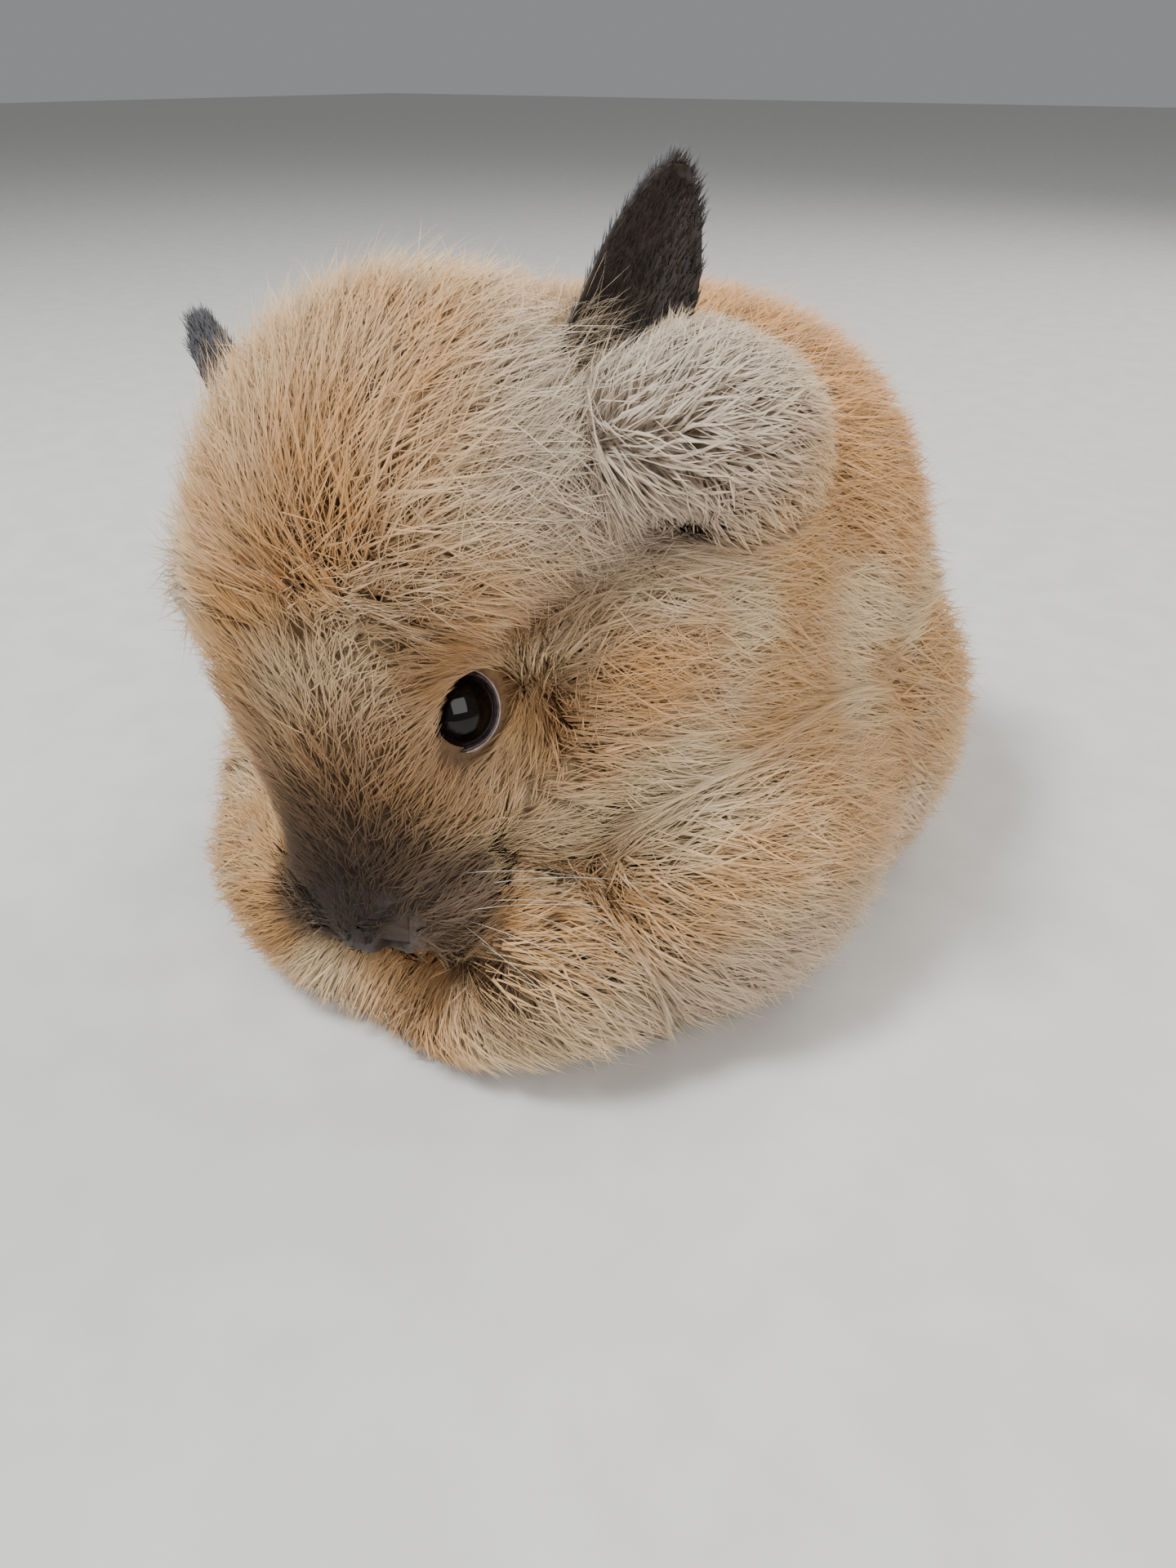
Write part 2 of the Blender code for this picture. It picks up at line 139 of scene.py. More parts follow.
# The feet that the coat leaves free at the floor: a hind foot and a forepaw, mirrored.
FEET = (
    Form((0.0470, 0.0100, 0.0072), (0.0082, 0.0350, 0.0072), power=2.4),
    Form((0.0190, -0.0900, 0.0066), (0.0068, 0.0120, 0.0066), power=2.4),
)
# The cores of the tail and of the wool behind the left ear, too slim for the coat's full depth.
CORES = (
    Form((-0.0020, 0.0700, 0.0400), (0.0070, 0.0110, 0.0120)),
    Form((0.0300, -0.0440, 0.1110), (0.0210, 0.0210, 0.0120)),
)
FLOOR_FORM_FLAT = 0.0004


@dataclass(frozen=True)
class Slit:
    """A groove in the muzzle, between two places as seen from in front, in the head's x and z.

    Attributes:
        start: One end.
        end: The other end.
        half_width: Half its width.
        depth: Its depth.
    """

    start: tuple
    end: tuple
    half_width: float
    depth: float

    def share(self, local: np.ndarray, side: int) -> np.ndarray:
        """How much of the groove each point has: one in its middle, and none away from it.

        Args:
            local: Rows of points in the head's frame.
            side: -1 for the groove's mirror image.

        Returns:
            One share for each point.
        """
        flat = local[:, (0, 2)] * np.array((side, 1))
        start, along = np.array(self.start), np.array(self.end) - np.array(self.start)
        reach = np.clip((flat - start) @ along / (along @ along), 0, 1)
        off = np.linalg.norm(flat - start - reach[:, None] * along, axis=1)
        width = self.half_width * (0.45 + 0.55 * np.sin(math.pi * np.clip(reach, 0.12, 0.88)))
        return np.exp(-((off / width) ** 2)) * (local[:, 1] < self.behind)

    @property
    def behind(self) -> float:
        """The y, in the head's frame, behind which there is no groove."""
        return -0.0200


NOSTRIL = Slit((0.0084, -0.0150), (0.0028, -0.0220), 0.0019, 0.0026)
CREASE = Slit((0.0090, -0.0120), (0.0200, -0.0190), 0.0018, 0.0020)
CLEFT = Slit((0.0, -0.0205), (0.0, -0.0275), 0.0008, 0.0012)
MOUTH = Slit((0.0, -0.0278), (0.0105, -0.0272), 0.0011, 0.0018)


def head_turn() -> Matrix:
    """The turn and place of the head's own frame, before the model is centred on the floor.

    Returns:
        A 4 by 4 matrix from the head's frame to the animal's.
    """
    turn = Matrix.Rotation(math.radians(14), 4, "Z") @ Matrix.Rotation(math.radians(29.5), 4, "X")
    place = Matrix.Translation(Vector((-0.0011, -0.0860, 0.0664)))
    return place @ turn @ Matrix.Rotation(math.radians(-17), 4, "Y")


def unit(vectors: np.ndarray) -> np.ndarray:
    """Scales each vector to a length of one.

    Args:
        vectors: Rows of three numbers.

    Returns:
        The same rows at length one.
    """
    return vectors / np.maximum(np.linalg.norm(vectors, axis=-1, keepdims=True), 1e-9)


@dataclass
class Anatomy:
    """The animal's shape as fields of distance, in the frame's axes.

    Attributes:
        shift: From the axes of the forms to those of the frame.
        body_depth: Depth of the skin under the tips of the coat.
        face_depth: Depth of the skin under the tips of the face's short hair.
        wool_blend: How softly the long coat's tips run into the face's.
        skin_blend: How softly the body's skin runs into the face's.
        face_middle: The middle of the face, where the hair is shortest, in the head's frame.
        face_radius: How far from there the coat begins to lengthen.
        face_fade: Over how far it lengthens.
        least_depth: The share of the body's depth that it has there.
        sink_middle: The middle of the muzzle, where the coarse skin draws back.
        sink_radius: How far from there it does.
        sink_fade: Over how far it comes back.
        sink_depth: How far it draws back at most.
    """

    shift: np.ndarray
    body_depth: float = 0.0150
    face_depth: float = 0.0014
    wool_blend: float = 0.0060
    skin_blend: float = 0.0035
    face_middle: tuple = (0.0, -0.0140, -0.0060)
    face_radius: float = 0.0260
    face_fade: float = 0.0340
    least_depth: float = 0.22
    sink_middle: tuple = (0.0, -0.0310, -0.0200)
    sink_radius: float = 0.0125
    sink_fade: float = 0.0040
    sink_depth: float = 0.0045
    frame: np.ndarray = field(init=False)

    def __post_init__(self) -> None:
        """Works out the head's frame once."""
        self.frame = np.array(head_turn())
        self.frame[:3, 3] += self.shift

    def on_head(self, local: tuple) -> np.ndarray:
        """The place of a point that is given in the head's frame.

        Args:
            local: The point, metres from midway between the eyes.

        Returns:
            The point in the frame's axes.
        """
        return self.frame[:3, :3] @ np.array(local) + self.frame[:3, 3]

    def head_way(self, local: tuple) -> np.ndarray:
        """A direction that is given in the head's frame.

        Args:
            local: The direction in the head's frame.

        Returns:
            The direction in the frame's axes, at length one.
        """
        return unit(self.frame[:3, :3] @ np.array(local, float))

    def in_head(self, points: np.ndarray) -> np.ndarray:
        """Points in the head's own frame.

        Args:
            points: Rows of points in the frame's axes.

        Returns:
            The same points from midway between the eyes.
        """
        return (points - self.frame[:3, 3]) @ self.frame[:3, :3]

    def form_distance(self, points: np.ndarray, form: Form, side: int = 1) -> np.ndarray:
        """Distance from points to one form, below zero inside it.

        Args:
            points: Rows of points.
            form: The form.
            side: -1 for the form's mirror image.

        Returns:
            One distance for each point.
        """
        local = self.in_head(points) if form.on_head else points - self.shift
        offset = local * np.array((side, 1, 1)) - np.array(form.centre)
        shares = np.abs(offset / np.array(form.half))
        reach = np.maximum((shares ** form.power).sum(axis=-1) ** (1 / form.power), 1e-6)
        return np.linalg.norm(offset, axis=-1) * (1 - 1 / reach)

    def tips(self, points: np.ndarray, dents: tuple = DENTS) -> np.ndarray:
        """Distance to the tips of the long coat, below zero inside it.

        Args:
            points: Rows of points.
            dents: The dents in the coat, none for its skin.

        Returns:
            One distance for each point.
        """
        total = -np.inf
        for form in COAT.values():
            total = np.logaddexp(total, -self.form_distance(points, form) / COAT_BLEND)
        result = (COAT_DRAWN_IN - COAT_BLEND * total) / HOLLOW_BLEND
        for hollow in HOLLOWS + dents:
            result = np.logaddexp(result, -self.form_distance(points, hollow) / HOLLOW_BLEND)
        return HOLLOW_BLEND * result

    def face(self, points: np.ndarray) -> np.ndarray:
        """Distance to the tips of the face's short hair, below zero inside it.

        Args:
            points: Rows of points.

        Returns:
            One distance for each point.
        """
        total = -np.inf
        for form in FACE:
            total = np.logaddexp(total, -self.form_distance(points, form) / FACE_BLEND)
        local = self.in_head(points)
        dent = np.zeros(len(points))
        for side in Side:
            for slit in (NOSTRIL, CREASE):
                dent = np.maximum(dent, slit.share(local, side.value) * slit.depth)
        return FACE_DRAWN_IN - FACE_BLEND * total + dent

    def wool(self, points: np.ndarray) -> np.ndarray:
        """Distance to the tips of all the hair, long and short, below zero inside it.

        Args:
            points: Rows of points.

        Returns:
            One distance for each point.
        """
        blend = self.wool_blend
        return -blend * np.logaddexp(-self.tips(points) / blend, -self.face(points) / blend)

    def feet(self, points: np.ndarray) -> np.ndarray:
        """Distance to the feet and the slim cores, below zero inside them.

        Args:
            points: Rows of points.

        Returns:
            One distance for each point.
        """
        near = [self.form_distance(points, form, side.value) for form in FEET for side in Side]
        near += [self.form_distance(points, form) for form in CORES]
        return np.min(near, axis=0)

    def muzzle_sink(self, points: np.ndarray) -> np.ndarray:
        """How far the coarse skin draws back, to leave the fine muzzle its grooves.

        Args:
            points: Rows of points.

        Returns:
            One depth for each point.
        """
        away = np.linalg.norm(self.in_head(points) - np.array(self.sink_middle), axis=-1)
        return self.sink_depth * np.clip((self.sink_radius - away) / self.sink_fade, 0, 1)

    def skin(self, points: np.ndarray) -> np.ndarray:
        """Distance to the skin, below zero inside it.

        Args:
            points: Rows of points.

        Returns:
            One distance for each point.
        """
        blend = self.skin_blend
        away = np.linalg.norm(points - self.on_head(self.face_middle), axis=-1)
        share = np.clip((away - self.face_radius) / self.face_fade, 0, 1)
        share = self.least_depth + (1 - self.least_depth) * share ** 2 * (3 - 2 * share)
        coat = self.tips(points, ()) + self.body_depth * share
        bare = self.face(points) + self.face_depth + self.muzzle_sink(points)
        bare = np.minimum(bare, self.feet(points))
        return -blend * np.logaddexp(-coat / blend, -bare / blend)

    def slope(self, distance, points: np.ndarray) -> np.ndarray:
        """The outward direction of a field of distance.

        Args:
            distance: The field, such as skin or tips.
            points: Rows of points.

        Returns:
            One direction of length one for each point.
        """
        step = 0.0006
        slopes = [distance(points + way) - distance(points - way) for way in step * np.eye(3)]
        return unit(np.stack(slopes, axis=-1))

    def reach(self, points: np.ndarray) -> np.ndarray:
        """How far under the tips of the coat or the face's hair each point lies.

        Args:
            points: Rows of points.

        Returns:
            One depth for each point, never less than that of the shortest hair.
        """
        return np.maximum(-self.wool(points), self.face_depth)


@dataclass(frozen=True)
class Patch:
    """A place where the coat has a colour of its own, or painted shade in a crease: an ellipsoid with a soft edge.

    Attributes:
        name: What the marking or painted shade is.
        centre: Its middle, in the head's frame or the animal's.
        half: Its half sizes.
        color: Its colour.
        strength: How much of the colour it gives, at its middle.
        softness: The share of its size over which it fades.
        on_head: Whether its place is in the head's frame.
    """

    name: str
    centre: tuple
    half: tuple
    color: tuple
    strength: float = 1.0
    softness: float = 0.5
    on_head: bool = False


FAWN = (0.680, 0.370, 0.145)
CREAM = (0.860, 0.620, 0.360)
ORANGE = (0.660, 0.290, 0.080)
GREY_BEIGE = (0.560, 0.440, 0.320)
GREY = (0.330, 0.300, 0.270)
SMUT = (0.030, 0.019, 0.014)
BROWN = (0.190, 0.105, 0.050)
RUSSET = (0.400, 0.200, 0.080)
# A painted shade colour, for the creases by the brow.
CREASE_SHADE = (0.300, 0.135, 0.045)
TAUPE = (0.120, 0.082, 0.058)
SILVER = (0.640, 0.545, 0.440)
PALE = (0.900, 0.740, 0.520)

PATCHES = (
    Patch("back", (0.010, 0.030, 0.115), (0.070, 0.060, 0.050), ORANGE, 0.75, 0.8),
    Patch("rump", (0.0, 0.070, 0.060), (0.060, 0.030, 0.050), ORANGE, 0.45, 0.8),
    Patch("crown", (0.010, 0.012, 0.052), (0.036, 0.032, 0.024), ORANGE, 0.55, 0.9, True),
    Patch("face", (0.000, -0.010, 0.006), (0.028, 0.024, 0.020), RUSSET, 0.70, 0.9, True),
    # The next two patches are painted shade: in the furrow above the eye's inner side, and in the groove under the
    # brow's overhang.
    Patch("forehead_crease_shade", (0.025, -0.003, 0.023), (0.006, 0.020, 0.013), CREASE_SHADE, 0.65, 0.8, True),
    Patch("brow_shadow", (0.046, 0.010, 0.011), (0.024, 0.022, 0.005), CREASE_SHADE, 0.65, 0.8, True),
    Patch("mane_side", (0.055, 0.055, 0.030), (0.026, 0.040, 0.026), GREY_BEIGE, 0.75, 0.8, True),
    Patch("mane_far", (-0.050, 0.045, 0.020), (0.026, 0.040, 0.040), GREY_BEIGE, 0.65, 0.8, True),
    Patch("ear_wool", (0.058, 0.034, 0.022), (0.030, 0.028, 0.022), SILVER, 0.5, 1.2, True),
    Patch("cheek", (0.030, 0.004, -0.024), (0.016, 0.022, 0.014), CREAM, 0.6, 0.8, True),
    Patch("flank_low", (0.060, -0.040, 0.016), (0.040, 0.060, 0.018), GREY_BEIGE, 0.7, 0.8),
    Patch("flank_low_far", (-0.060, -0.040, 0.016), (0.040, 0.060, 0.018), GREY_BEIGE, 0.7, 0.8),
    Patch("bib", (0.014, -0.104, 0.014), (0.016, 0.016, 0.013), ORANGE, 0.55, 0.8),
    Patch("bib_left", (0.040, -0.092, 0.012), (0.018, 0.024, 0.018), CREAM, 0.5, 0.8),
    Patch("cheek_warm", (0.043, 0.002, -0.006), (0.022, 0.018, 0.010), ORANGE, 0.5, 0.9, True),
    Patch("tail", (-0.002, 0.082, 0.036), (0.016, 0.016, 0.022), GREY_BEIGE, 0.6, 0.8),
    Patch("bridge", (0.0, -0.020, 0.000), (0.020, 0.021, 0.017), BROWN, 0.85, 0.9, True),
    Patch("muzzle", (0.0, -0.030, -0.012), (0.021, 0.021, 0.019), SMUT, 0.85, 0.8, True),
    Patch("nose", (0.0, -0.038, -0.013), (0.012, 0.012, 0.012), SMUT, 1.0, 0.5, True),
    Patch("pad", (0.0150, -0.029, -0.019), (0.011, 0.012, 0.010), TAUPE, 0.85, 0.7, True),
    Patch("pad_far", (-0.0150, -0.029, -0.019), (0.011, 0.012, 0.010), TAUPE, 0.85, 0.7, True),
    Patch("chin", (0.0, -0.026, -0.032), (0.012, 0.012, 0.006), ORANGE, 0.5, 0.7, True),
    Patch("eye_rim", (0.0165, -0.002, 0.001), (0.0085, 0.0105, 0.0095), BROWN, 0.75, 0.35, True),
    Patch("eye_rim_far", (-0.0165, -0.002, 0.001), (0.0085, 0.0105, 0.0095), BROWN, 0.75, 0.35, True),
)


@dataclass
class NodeSketch:
    """Small helper that adds and joins shader nodes in one tree."""

    tree: bpy.types.NodeTree

    def add(self, kind: str, **settings) -> bpy.types.Node:
        """Adds a node.

        Args:
            kind: The node's type.
            settings: Properties to set on it.

        Returns:
            The new node.
        """
        node = self.tree.nodes.new(kind)
        for key, value in settings.items():
            setattr(node, key, value)
        return node

    def plug(self, source, socket) -> None:
        """Joins an output to an input, or sets the input to a constant.

        Args:
            source: An output socket, a number or a tuple.
            socket: The input socket.
        """
        if isinstance(source, bpy.types.NodeSocket):
            self.tree.links.new(source, socket)
        else:
            socket.default_value = source

    def math(self, operation: str, first, second=0.0, clamp: bool = False):
        """A Math node.

        Args:
            operation: Its operation.
            first: Its first input.
            second: Its second input.
            clamp: Whether its result stays between 0 and 1.

        Returns:
            Its output.
        """
        node = self.add("ShaderNodeMath", operation=operation, use_clamp=clamp)
        self.plug(first, node.inputs[0])
        self.plug(second, node.inputs[1])
        return node.outputs[0]

    def mix(self, factor, first, second, blend: str = "MIX"):
        """A Mix node for colours.

        Args:
            factor: How much of the second colour there is.
            first: The first colour.
            second: The second colour.
            blend: The way that they mix.

        Returns:
            Its output.
        """
        node = self.add("ShaderNodeMix", data_type="RGBA", blend_type=blend)
        self.plug(factor, node.inputs["Factor"])
        for name, color in (("A", first), ("B", second)):
            socket = next(s for s in node.inputs if s.name == name and s.type == "RGBA")
            self.plug((*color, 1.0) if isinstance(color, tuple) else color, socket)
        return next(s for s in node.outputs if s.type == "RGBA")

    def noise(self, vector, scale: float, detail: float = 2.0):
        """A Noise Texture in metres of the object.

        Args:
            vector: The coordinates.
            scale: Its scale.
            detail: Its detail.

        Returns:
            The output between about 0 and 1.
        """
        node = self.add("ShaderNodeTexNoise")
        self.plug(vector, node.inputs["Vector"])
        node.inputs["Scale"].default_value = scale
        node.inputs["Detail"].default_value = detail
        return node.outputs["Fac"]

    def between(self, value, low: float, high: float, first: float = 0.0, last: float = 1.0):
        """A smooth Map Range node.

        Args:
            value: The value to map.
            low: The value that gives first.
            high: The value that gives last.
            first: The result at low.
            last: The result at high.

        Returns:
            Its output.
        """
        node = self.add("ShaderNodeMapRange", interpolation_type="SMOOTHSTEP")
        self.plug(value, node.inputs["Value"])
        for name, number in (("From Min", low), ("From Max", high), ("To Min", first), ("To Max", last)):
            node.inputs[name].default_value = number
        return node.outputs["Result"]


@dataclass
class Markings:
    """The markings of the coat, with painted shade in the creases by the brow, one node group that the skin and all the
    fur share.
    """

    anatomy: Anatomy
    group: bpy.types.NodeTree = field(init=False)

    def __post_init__(self) -> None:
        """Builds the group once."""
        self.group = bpy.data.node_groups.new("markings", "ShaderNodeTree")
        self.group.interface.new_socket("Color", in_out="OUTPUT", socket_type="NodeSocketColor")
        sketch = NodeSketch(self.group)
        place = sketch.add("ShaderNodeTexCoord").outputs["Object"]
        wander = sketch.add("ShaderNodeTexNoise")
        wander.inputs["Scale"].default_value = 90.0
        wander.inputs["Detail"].default_value = 3.0
        sketch.plug(place, wander.inputs["Vector"])
        drift = sketch.add("ShaderNodeVectorMath", operation="MULTIPLY_ADD")
        sketch.plug(wander.outputs["Color"], drift.inputs[0])
        drift.inputs[1].default_value = (0.009, 0.009, 0.009)
        drift.inputs[2].default_value = (-0.0045, -0.0045, -0.0045)
        moved = sketch.add("ShaderNodeVectorMath", operation="ADD")
        sketch.plug(place, moved.inputs[0])
        sketch.plug(drift.outputs[0], moved.inputs[1])
        color = self.base(sketch, place)
        for patch in PATCHES:
            color = sketch.mix(self.share(sketch, moved.outputs[0], patch), color, patch.color)
        out = sketch.add("NodeGroupOutput")
        sketch.plug(color, out.inputs["Color"])

    def base(self, sketch: NodeSketch, place):
        """The fawn of the whole coat, in broad cream and grey-beige clouds.

        Args:
            sketch: The group's helper.
            place: The coordinates.

        Returns:
            The colour's output.
        """
        clouds = sketch.between(sketch.noise(place, 34.0, 3.0), 0.42, 0.66)
        fawn = sketch.mix(clouds, FAWN, CREAM)
        streaks = sketch.between(sketch.noise(place, 120.0, 2.0), 0.5, 0.72, 0.0, 0.30)
        return sketch.mix(streaks, fawn, GREY_BEIGE)

    def share(self, sketch: NodeSketch, place, patch: Patch):
        """How much of a patch's colour each place has.

        Args:
            sketch: The group's helper.
            place: The coordinates.
            patch: The patch.

        Returns:
            The share's output.
        """
        anatomy = self.anatomy
        turn = Matrix([list(row) for row in anatomy.frame]) if patch.on_head else None
        if turn is None:
            turn = Matrix.Translation(Vector(anatomy.shift))
        mapping = sketch.add("ShaderNodeMapping", vector_type="TEXTURE")
        sketch.plug(place, mapping.inputs["Vector"])
        mapping.inputs["Location"].default_value = turn @ Vector(patch.centre)
        mapping.inputs["Rotation"].default_value = turn.to_euler()
        mapping.inputs["Scale"].default_value = patch.half
        length = sketch.add("ShaderNodeVectorMath", operation="LENGTH")
        sketch.plug(mapping.outputs["Vector"], length.inputs[0])
        edge = 1 + patch.softness * 0.5
        return sketch.between(length.outputs["Value"], edge - patch.softness, edge, patch.strength, 0.0)


@dataclass(frozen=True)
class FurFinish:
    """The finish of one sort of fur.

    Attributes:
        name: The material's name.
        root: The painted shade colour that the roots are darkened towards, for the shade deep in the coat.
        root_shade_share: How much of that painted shade the roots get.
        tip_light: How much paler the tips are.
        roughness: The shader's roughness.
        sheen: The shader's sheen.
        tint: A colour over the markings, and its share.
    """

    name: str
    # The roots' colour and its share are painted shade, for the shade deep inside the coat.
    root: tuple = (0.200, 0.115, 0.060)
    root_shade_share: float = 0.60
    tip_light: float = 0.30
    roughness: float = 0.62
    sheen: float = 0.10
    tint: tuple = (1.0, 1.0, 1.0)
    tint_share: float = 0.0

    def build(self, markings: Markings) -> bpy.types.Material:
        """Makes the material.

        Args:
            markings: The colours of the coat, with painted shade in its creases.

        Returns:
            The material.
        """
        material = bpy.data.materials.new(self.name)
        material.use_nodes = True
        sketch = NodeSketch(material.node_tree)
        shader = material.node_tree.nodes["Principled BSDF"]
        group = sketch.add("ShaderNodeGroup", node_tree=markings.group)
        along = sketch.add("ShaderNodeAttribute", attribute_name="along").outputs["Fac"]
        vary = sketch.add("ShaderNodeAttribute", attribute_name="vary").outputs["Fac"]
        color = group.outputs["Color"]
        if self.tint_share:
            color = sketch.mix(self.tint_share, color, self.tint)
        paler = sketch.math("MULTIPLY", sketch.between(along, 0.55, 1.0), self.tip_light)
        color = sketch.mix(paler, color, PALE)
        # Painted shade: the roots darken towards the root colour, for the shade deep inside the coat.
        dark = sketch.between(along, 0.05, 0.75, self.root_shade_share, 0.0)
        color = sketch.mix(dark, color, self.root)
        light = sketch.between(vary, 0.0, 1.0, 0.80, 1.16)
        scaled = sketch.add("ShaderNodeVectorMath", operation="SCALE")
        sketch.plug(color, scaled.inputs[0])
        sketch.plug(light, scaled.inputs["Scale"])
        sketch.plug(scaled.outputs[0], shader.inputs["Base Color"])
        shader.inputs["Roughness"].default_value = self.roughness
        shader.inputs["Sheen Weight"].default_value = self.sheen
        shader.inputs["Sheen Roughness"].default_value = 0.5
        shader.inputs["Specular IOR Level"].default_value = 0.3
        return material


@dataclass(frozen=True)
class SkinFinish:
    """The finish of the skin under the coat, with a short nap of its own, darkened with painted shade for the depth of
    the coat.
    """

    name: str = "skin"

    def build(self, markings: Markings) -> bpy.types.Material:
        """Makes the material.

        Args:
            markings: The colours of the coat, with painted shade in its creases.

        Returns:
            The material.
        """
        material = bpy.data.materials.new(self.name)
        material.use_nodes = True
        sketch = NodeSketch(material.node_tree)
        shader = material.node_tree.nodes["Principled BSDF"]
        place = sketch.add("ShaderNodeTexCoord").outputs["Object"]
        group = sketch.add("ShaderNodeGroup", node_tree=markings.group)
        nap = sketch.noise(place, 900.0, 4.0)
        # Painted shade for the coat's depth: the coat's colours darkened by 30 to 62 percent, the amount mottled by the
        # nap.
        dark = sketch.between(nap, 0.35, 0.65, 0.62, 0.30)
        color = sketch.mix(dark, group.outputs["Color"], (0.060, 0.038, 0.026))
        sketch.plug(color, shader.inputs["Base Color"])
        bump = sketch.add("ShaderNodeBump")
        bump.inputs["Strength"].default_value = 0.5
        bump.inputs["Distance"].default_value = 0.0005
        sketch.plug(nap, bump.inputs["Height"])
        sketch.plug(bump.outputs["Normal"], shader.inputs["Normal"])
        shader.inputs["Roughness"].default_value = 0.8
        return material


@dataclass(frozen=True)
class MottledFinish:
    """A finish of two colours in a fine mottle, with a bump, for lids, ears and whiskers.

    Attributes:
        name: The material's name.
        first: The first colour.
        second: The second colour.
        scale: The mottle's scale.
        roughness: The shader's roughness.
        bump: The depth of the bump.
        coat: The weight of a wet coat.
        specular: The shader's specular level.
    """

    name: str
    first: tuple
    second: tuple
    scale: float = 700.0
    roughness: float = 0.6
    bump: float = 0.0002
    coat: float = 0.0
    specular: float = 0.5

    def build(self) -> bpy.types.Material:
        """Makes the material.

        Returns:
            The material.
        """
        material = bpy.data.materials.new(self.name)
        material.use_nodes = True
        sketch = NodeSketch(material.node_tree)
        shader = material.node_tree.nodes["Principled BSDF"]
        place = sketch.add("ShaderNodeTexCoord").outputs["Object"]
        mottle = sketch.noise(place, self.scale, 3.0)
        color = sketch.mix(sketch.between(mottle, 0.35, 0.65), self.first, self.second)
        sketch.plug(color, shader.inputs["Base Color"])
        bump = sketch.add("ShaderNodeBump")
        bump.inputs["Strength"].default_value = 0.6
        bump.inputs["Distance"].default_value = self.bump
        sketch.plug(mottle, bump.inputs["Height"])
        sketch.plug(bump.outputs["Normal"], shader.inputs["Normal"])
        shader.inputs["Roughness"].default_value = self.roughness
        shader.inputs["Coat Weight"].default_value = self.coat
        shader.inputs["Coat Roughness"].default_value = 0.05
        shader.inputs["Specular IOR Level"].default_value = self.specular
        return material


def mesh_object(name: str, bm: bmesh.types.BMesh, material: bpy.types.Material) -> bpy.types.Object:
    """Makes a smooth-shaded object of a bmesh.

    Args:
        name: The object's name.
        bm: The bmesh, which is freed.
        material: Its material.

    Returns:
        The object.
    """
    bmesh.ops.recalc_face_normals(bm, faces=bm.faces)
    mesh = bpy.data.meshes.new(name)
    bm.to_mesh(mesh)
    bm.free()
    mesh.materials.append(material)
    mesh.shade_smooth()
    obj = bpy.data.objects.new(name, mesh)
    bpy.context.scene.collection.objects.link(obj)
    return obj


@dataclass
class Skin:
    """The one closed skin of the whole animal, under the coat.

    Attributes:
        anatomy: The animal's shape.
        voxel: The size of the skin's faces.
        passes: How often each point is moved on to the field.
    """

    anatomy: Anatomy
    voxel: float = 0.0019
    passes: int = 5

    def build(self, material: bpy.types.Material) -> bpy.types.Object:
        """Joins the forms, meshes them anew and fits the mesh to the skin's field.

        Args:
            material: The skin's material.

        Returns:
            The skin.
        """
        obj = mesh_object("skin", self.blocks(), material)
        remesh = obj.modifiers.new("remesh", "REMESH")
        remesh.mode = "VOXEL"
        remesh.voxel_size = self.voxel
        graph = bpy.context.evaluated_depsgraph_get()
        mesh = bpy.data.meshes.new_from_object(obj.evaluated_get(graph))
        obj.modifiers.clear()
        old = obj.data
        obj.data = mesh
        bpy.data.meshes.remove(old)
        points = self.fit(vertex_places(mesh))
        mesh.vertices.foreach_set("co", points.ravel())
        mesh.update()
        mesh.shade_smooth()
        log.info("skin: %d points", len(points))
        return obj

    def blocks(self) -> bmesh.types.BMesh:
        """The forms as overlapping closed solids, drawn in by the coat's depth.

        Returns:
            One bmesh with all of them.
        """
        bm = bmesh.new()
        anatomy = self.anatomy
        drawn_in = [replace(form, half=tuple(half - anatomy.body_depth for half in form.half)) for form in COAT.values()]
        for form in [*drawn_in, *FACE, *CORES]:
            self.add_block(bm, form)
        for form in FEET:
            for side in Side:
                self.add_block(bm, form, side.value)
        return bm

    def add_block(self, bm: bmesh.types.BMesh, form: Form, side: int = 1) -> None:
        """Adds one form as a closed solid.

        Args:
            bm: The bmesh that takes it.
            form: The form.
            side: -1 for its mirror image.
        """
        if min(form.half) < self.voxel:
            return
        anatomy = self.anatomy
        made = bmesh.ops.create_uvsphere(bm, u_segments=32, v_segments=20, radius=1.0)["verts"]
        centre = Vector((form.centre[0] * side, form.centre[1], form.centre[2]))
        turn = Matrix([list(row) for row in anatomy.frame])
        if not form.on_head:
            turn = Matrix.Translation(Vector(anatomy.shift))
        for vert in made:
            vert.co = turn @ (centre + Vector(a * b for a, b in zip(vert.co, form.half)))

    def fit(self, points: np.ndarray) -> np.ndarray:
        """Moves points along the field's slope on to the skin, and none under the floor.

        Args:
            points: Rows of points.

        Returns:
            The moved points.
        """
        anatomy = self.anatomy
        for _ in range(self.passes):
            away = anatomy.skin(points)
            way = anatomy.slope(anatomy.skin, points)
            points = points - way * np.clip(away, -0.004, 0.004)[:, None]
            points[:, 2] = np.maximum(points[:, 2], FLOOR_FORM_FLAT)
        return points


def vertex_places(mesh: bpy.types.Mesh) -> np.ndarray:
    """The places of a mesh's vertices.

    Args:
        mesh: The mesh.

    Returns:
        Rows of three numbers.
    """
    places = np.zeros(len(mesh.vertices) * 3)
    mesh.vertices.foreach_get("co", places)
    return places.reshape(-1, 3)


# Each row is a ring of a tuft: share of its length, share of the depth still to go, width.
LONG_RINGS = ((0.0, 1.0, 0.75), (0.36, 0.50, 1.0), (0.70, 0.15, 0.62))
SHORT_RINGS = ((0.0, 1.0, 0.85), (0.50, 0.34, 1.0))
TUFT_SIDES = 3


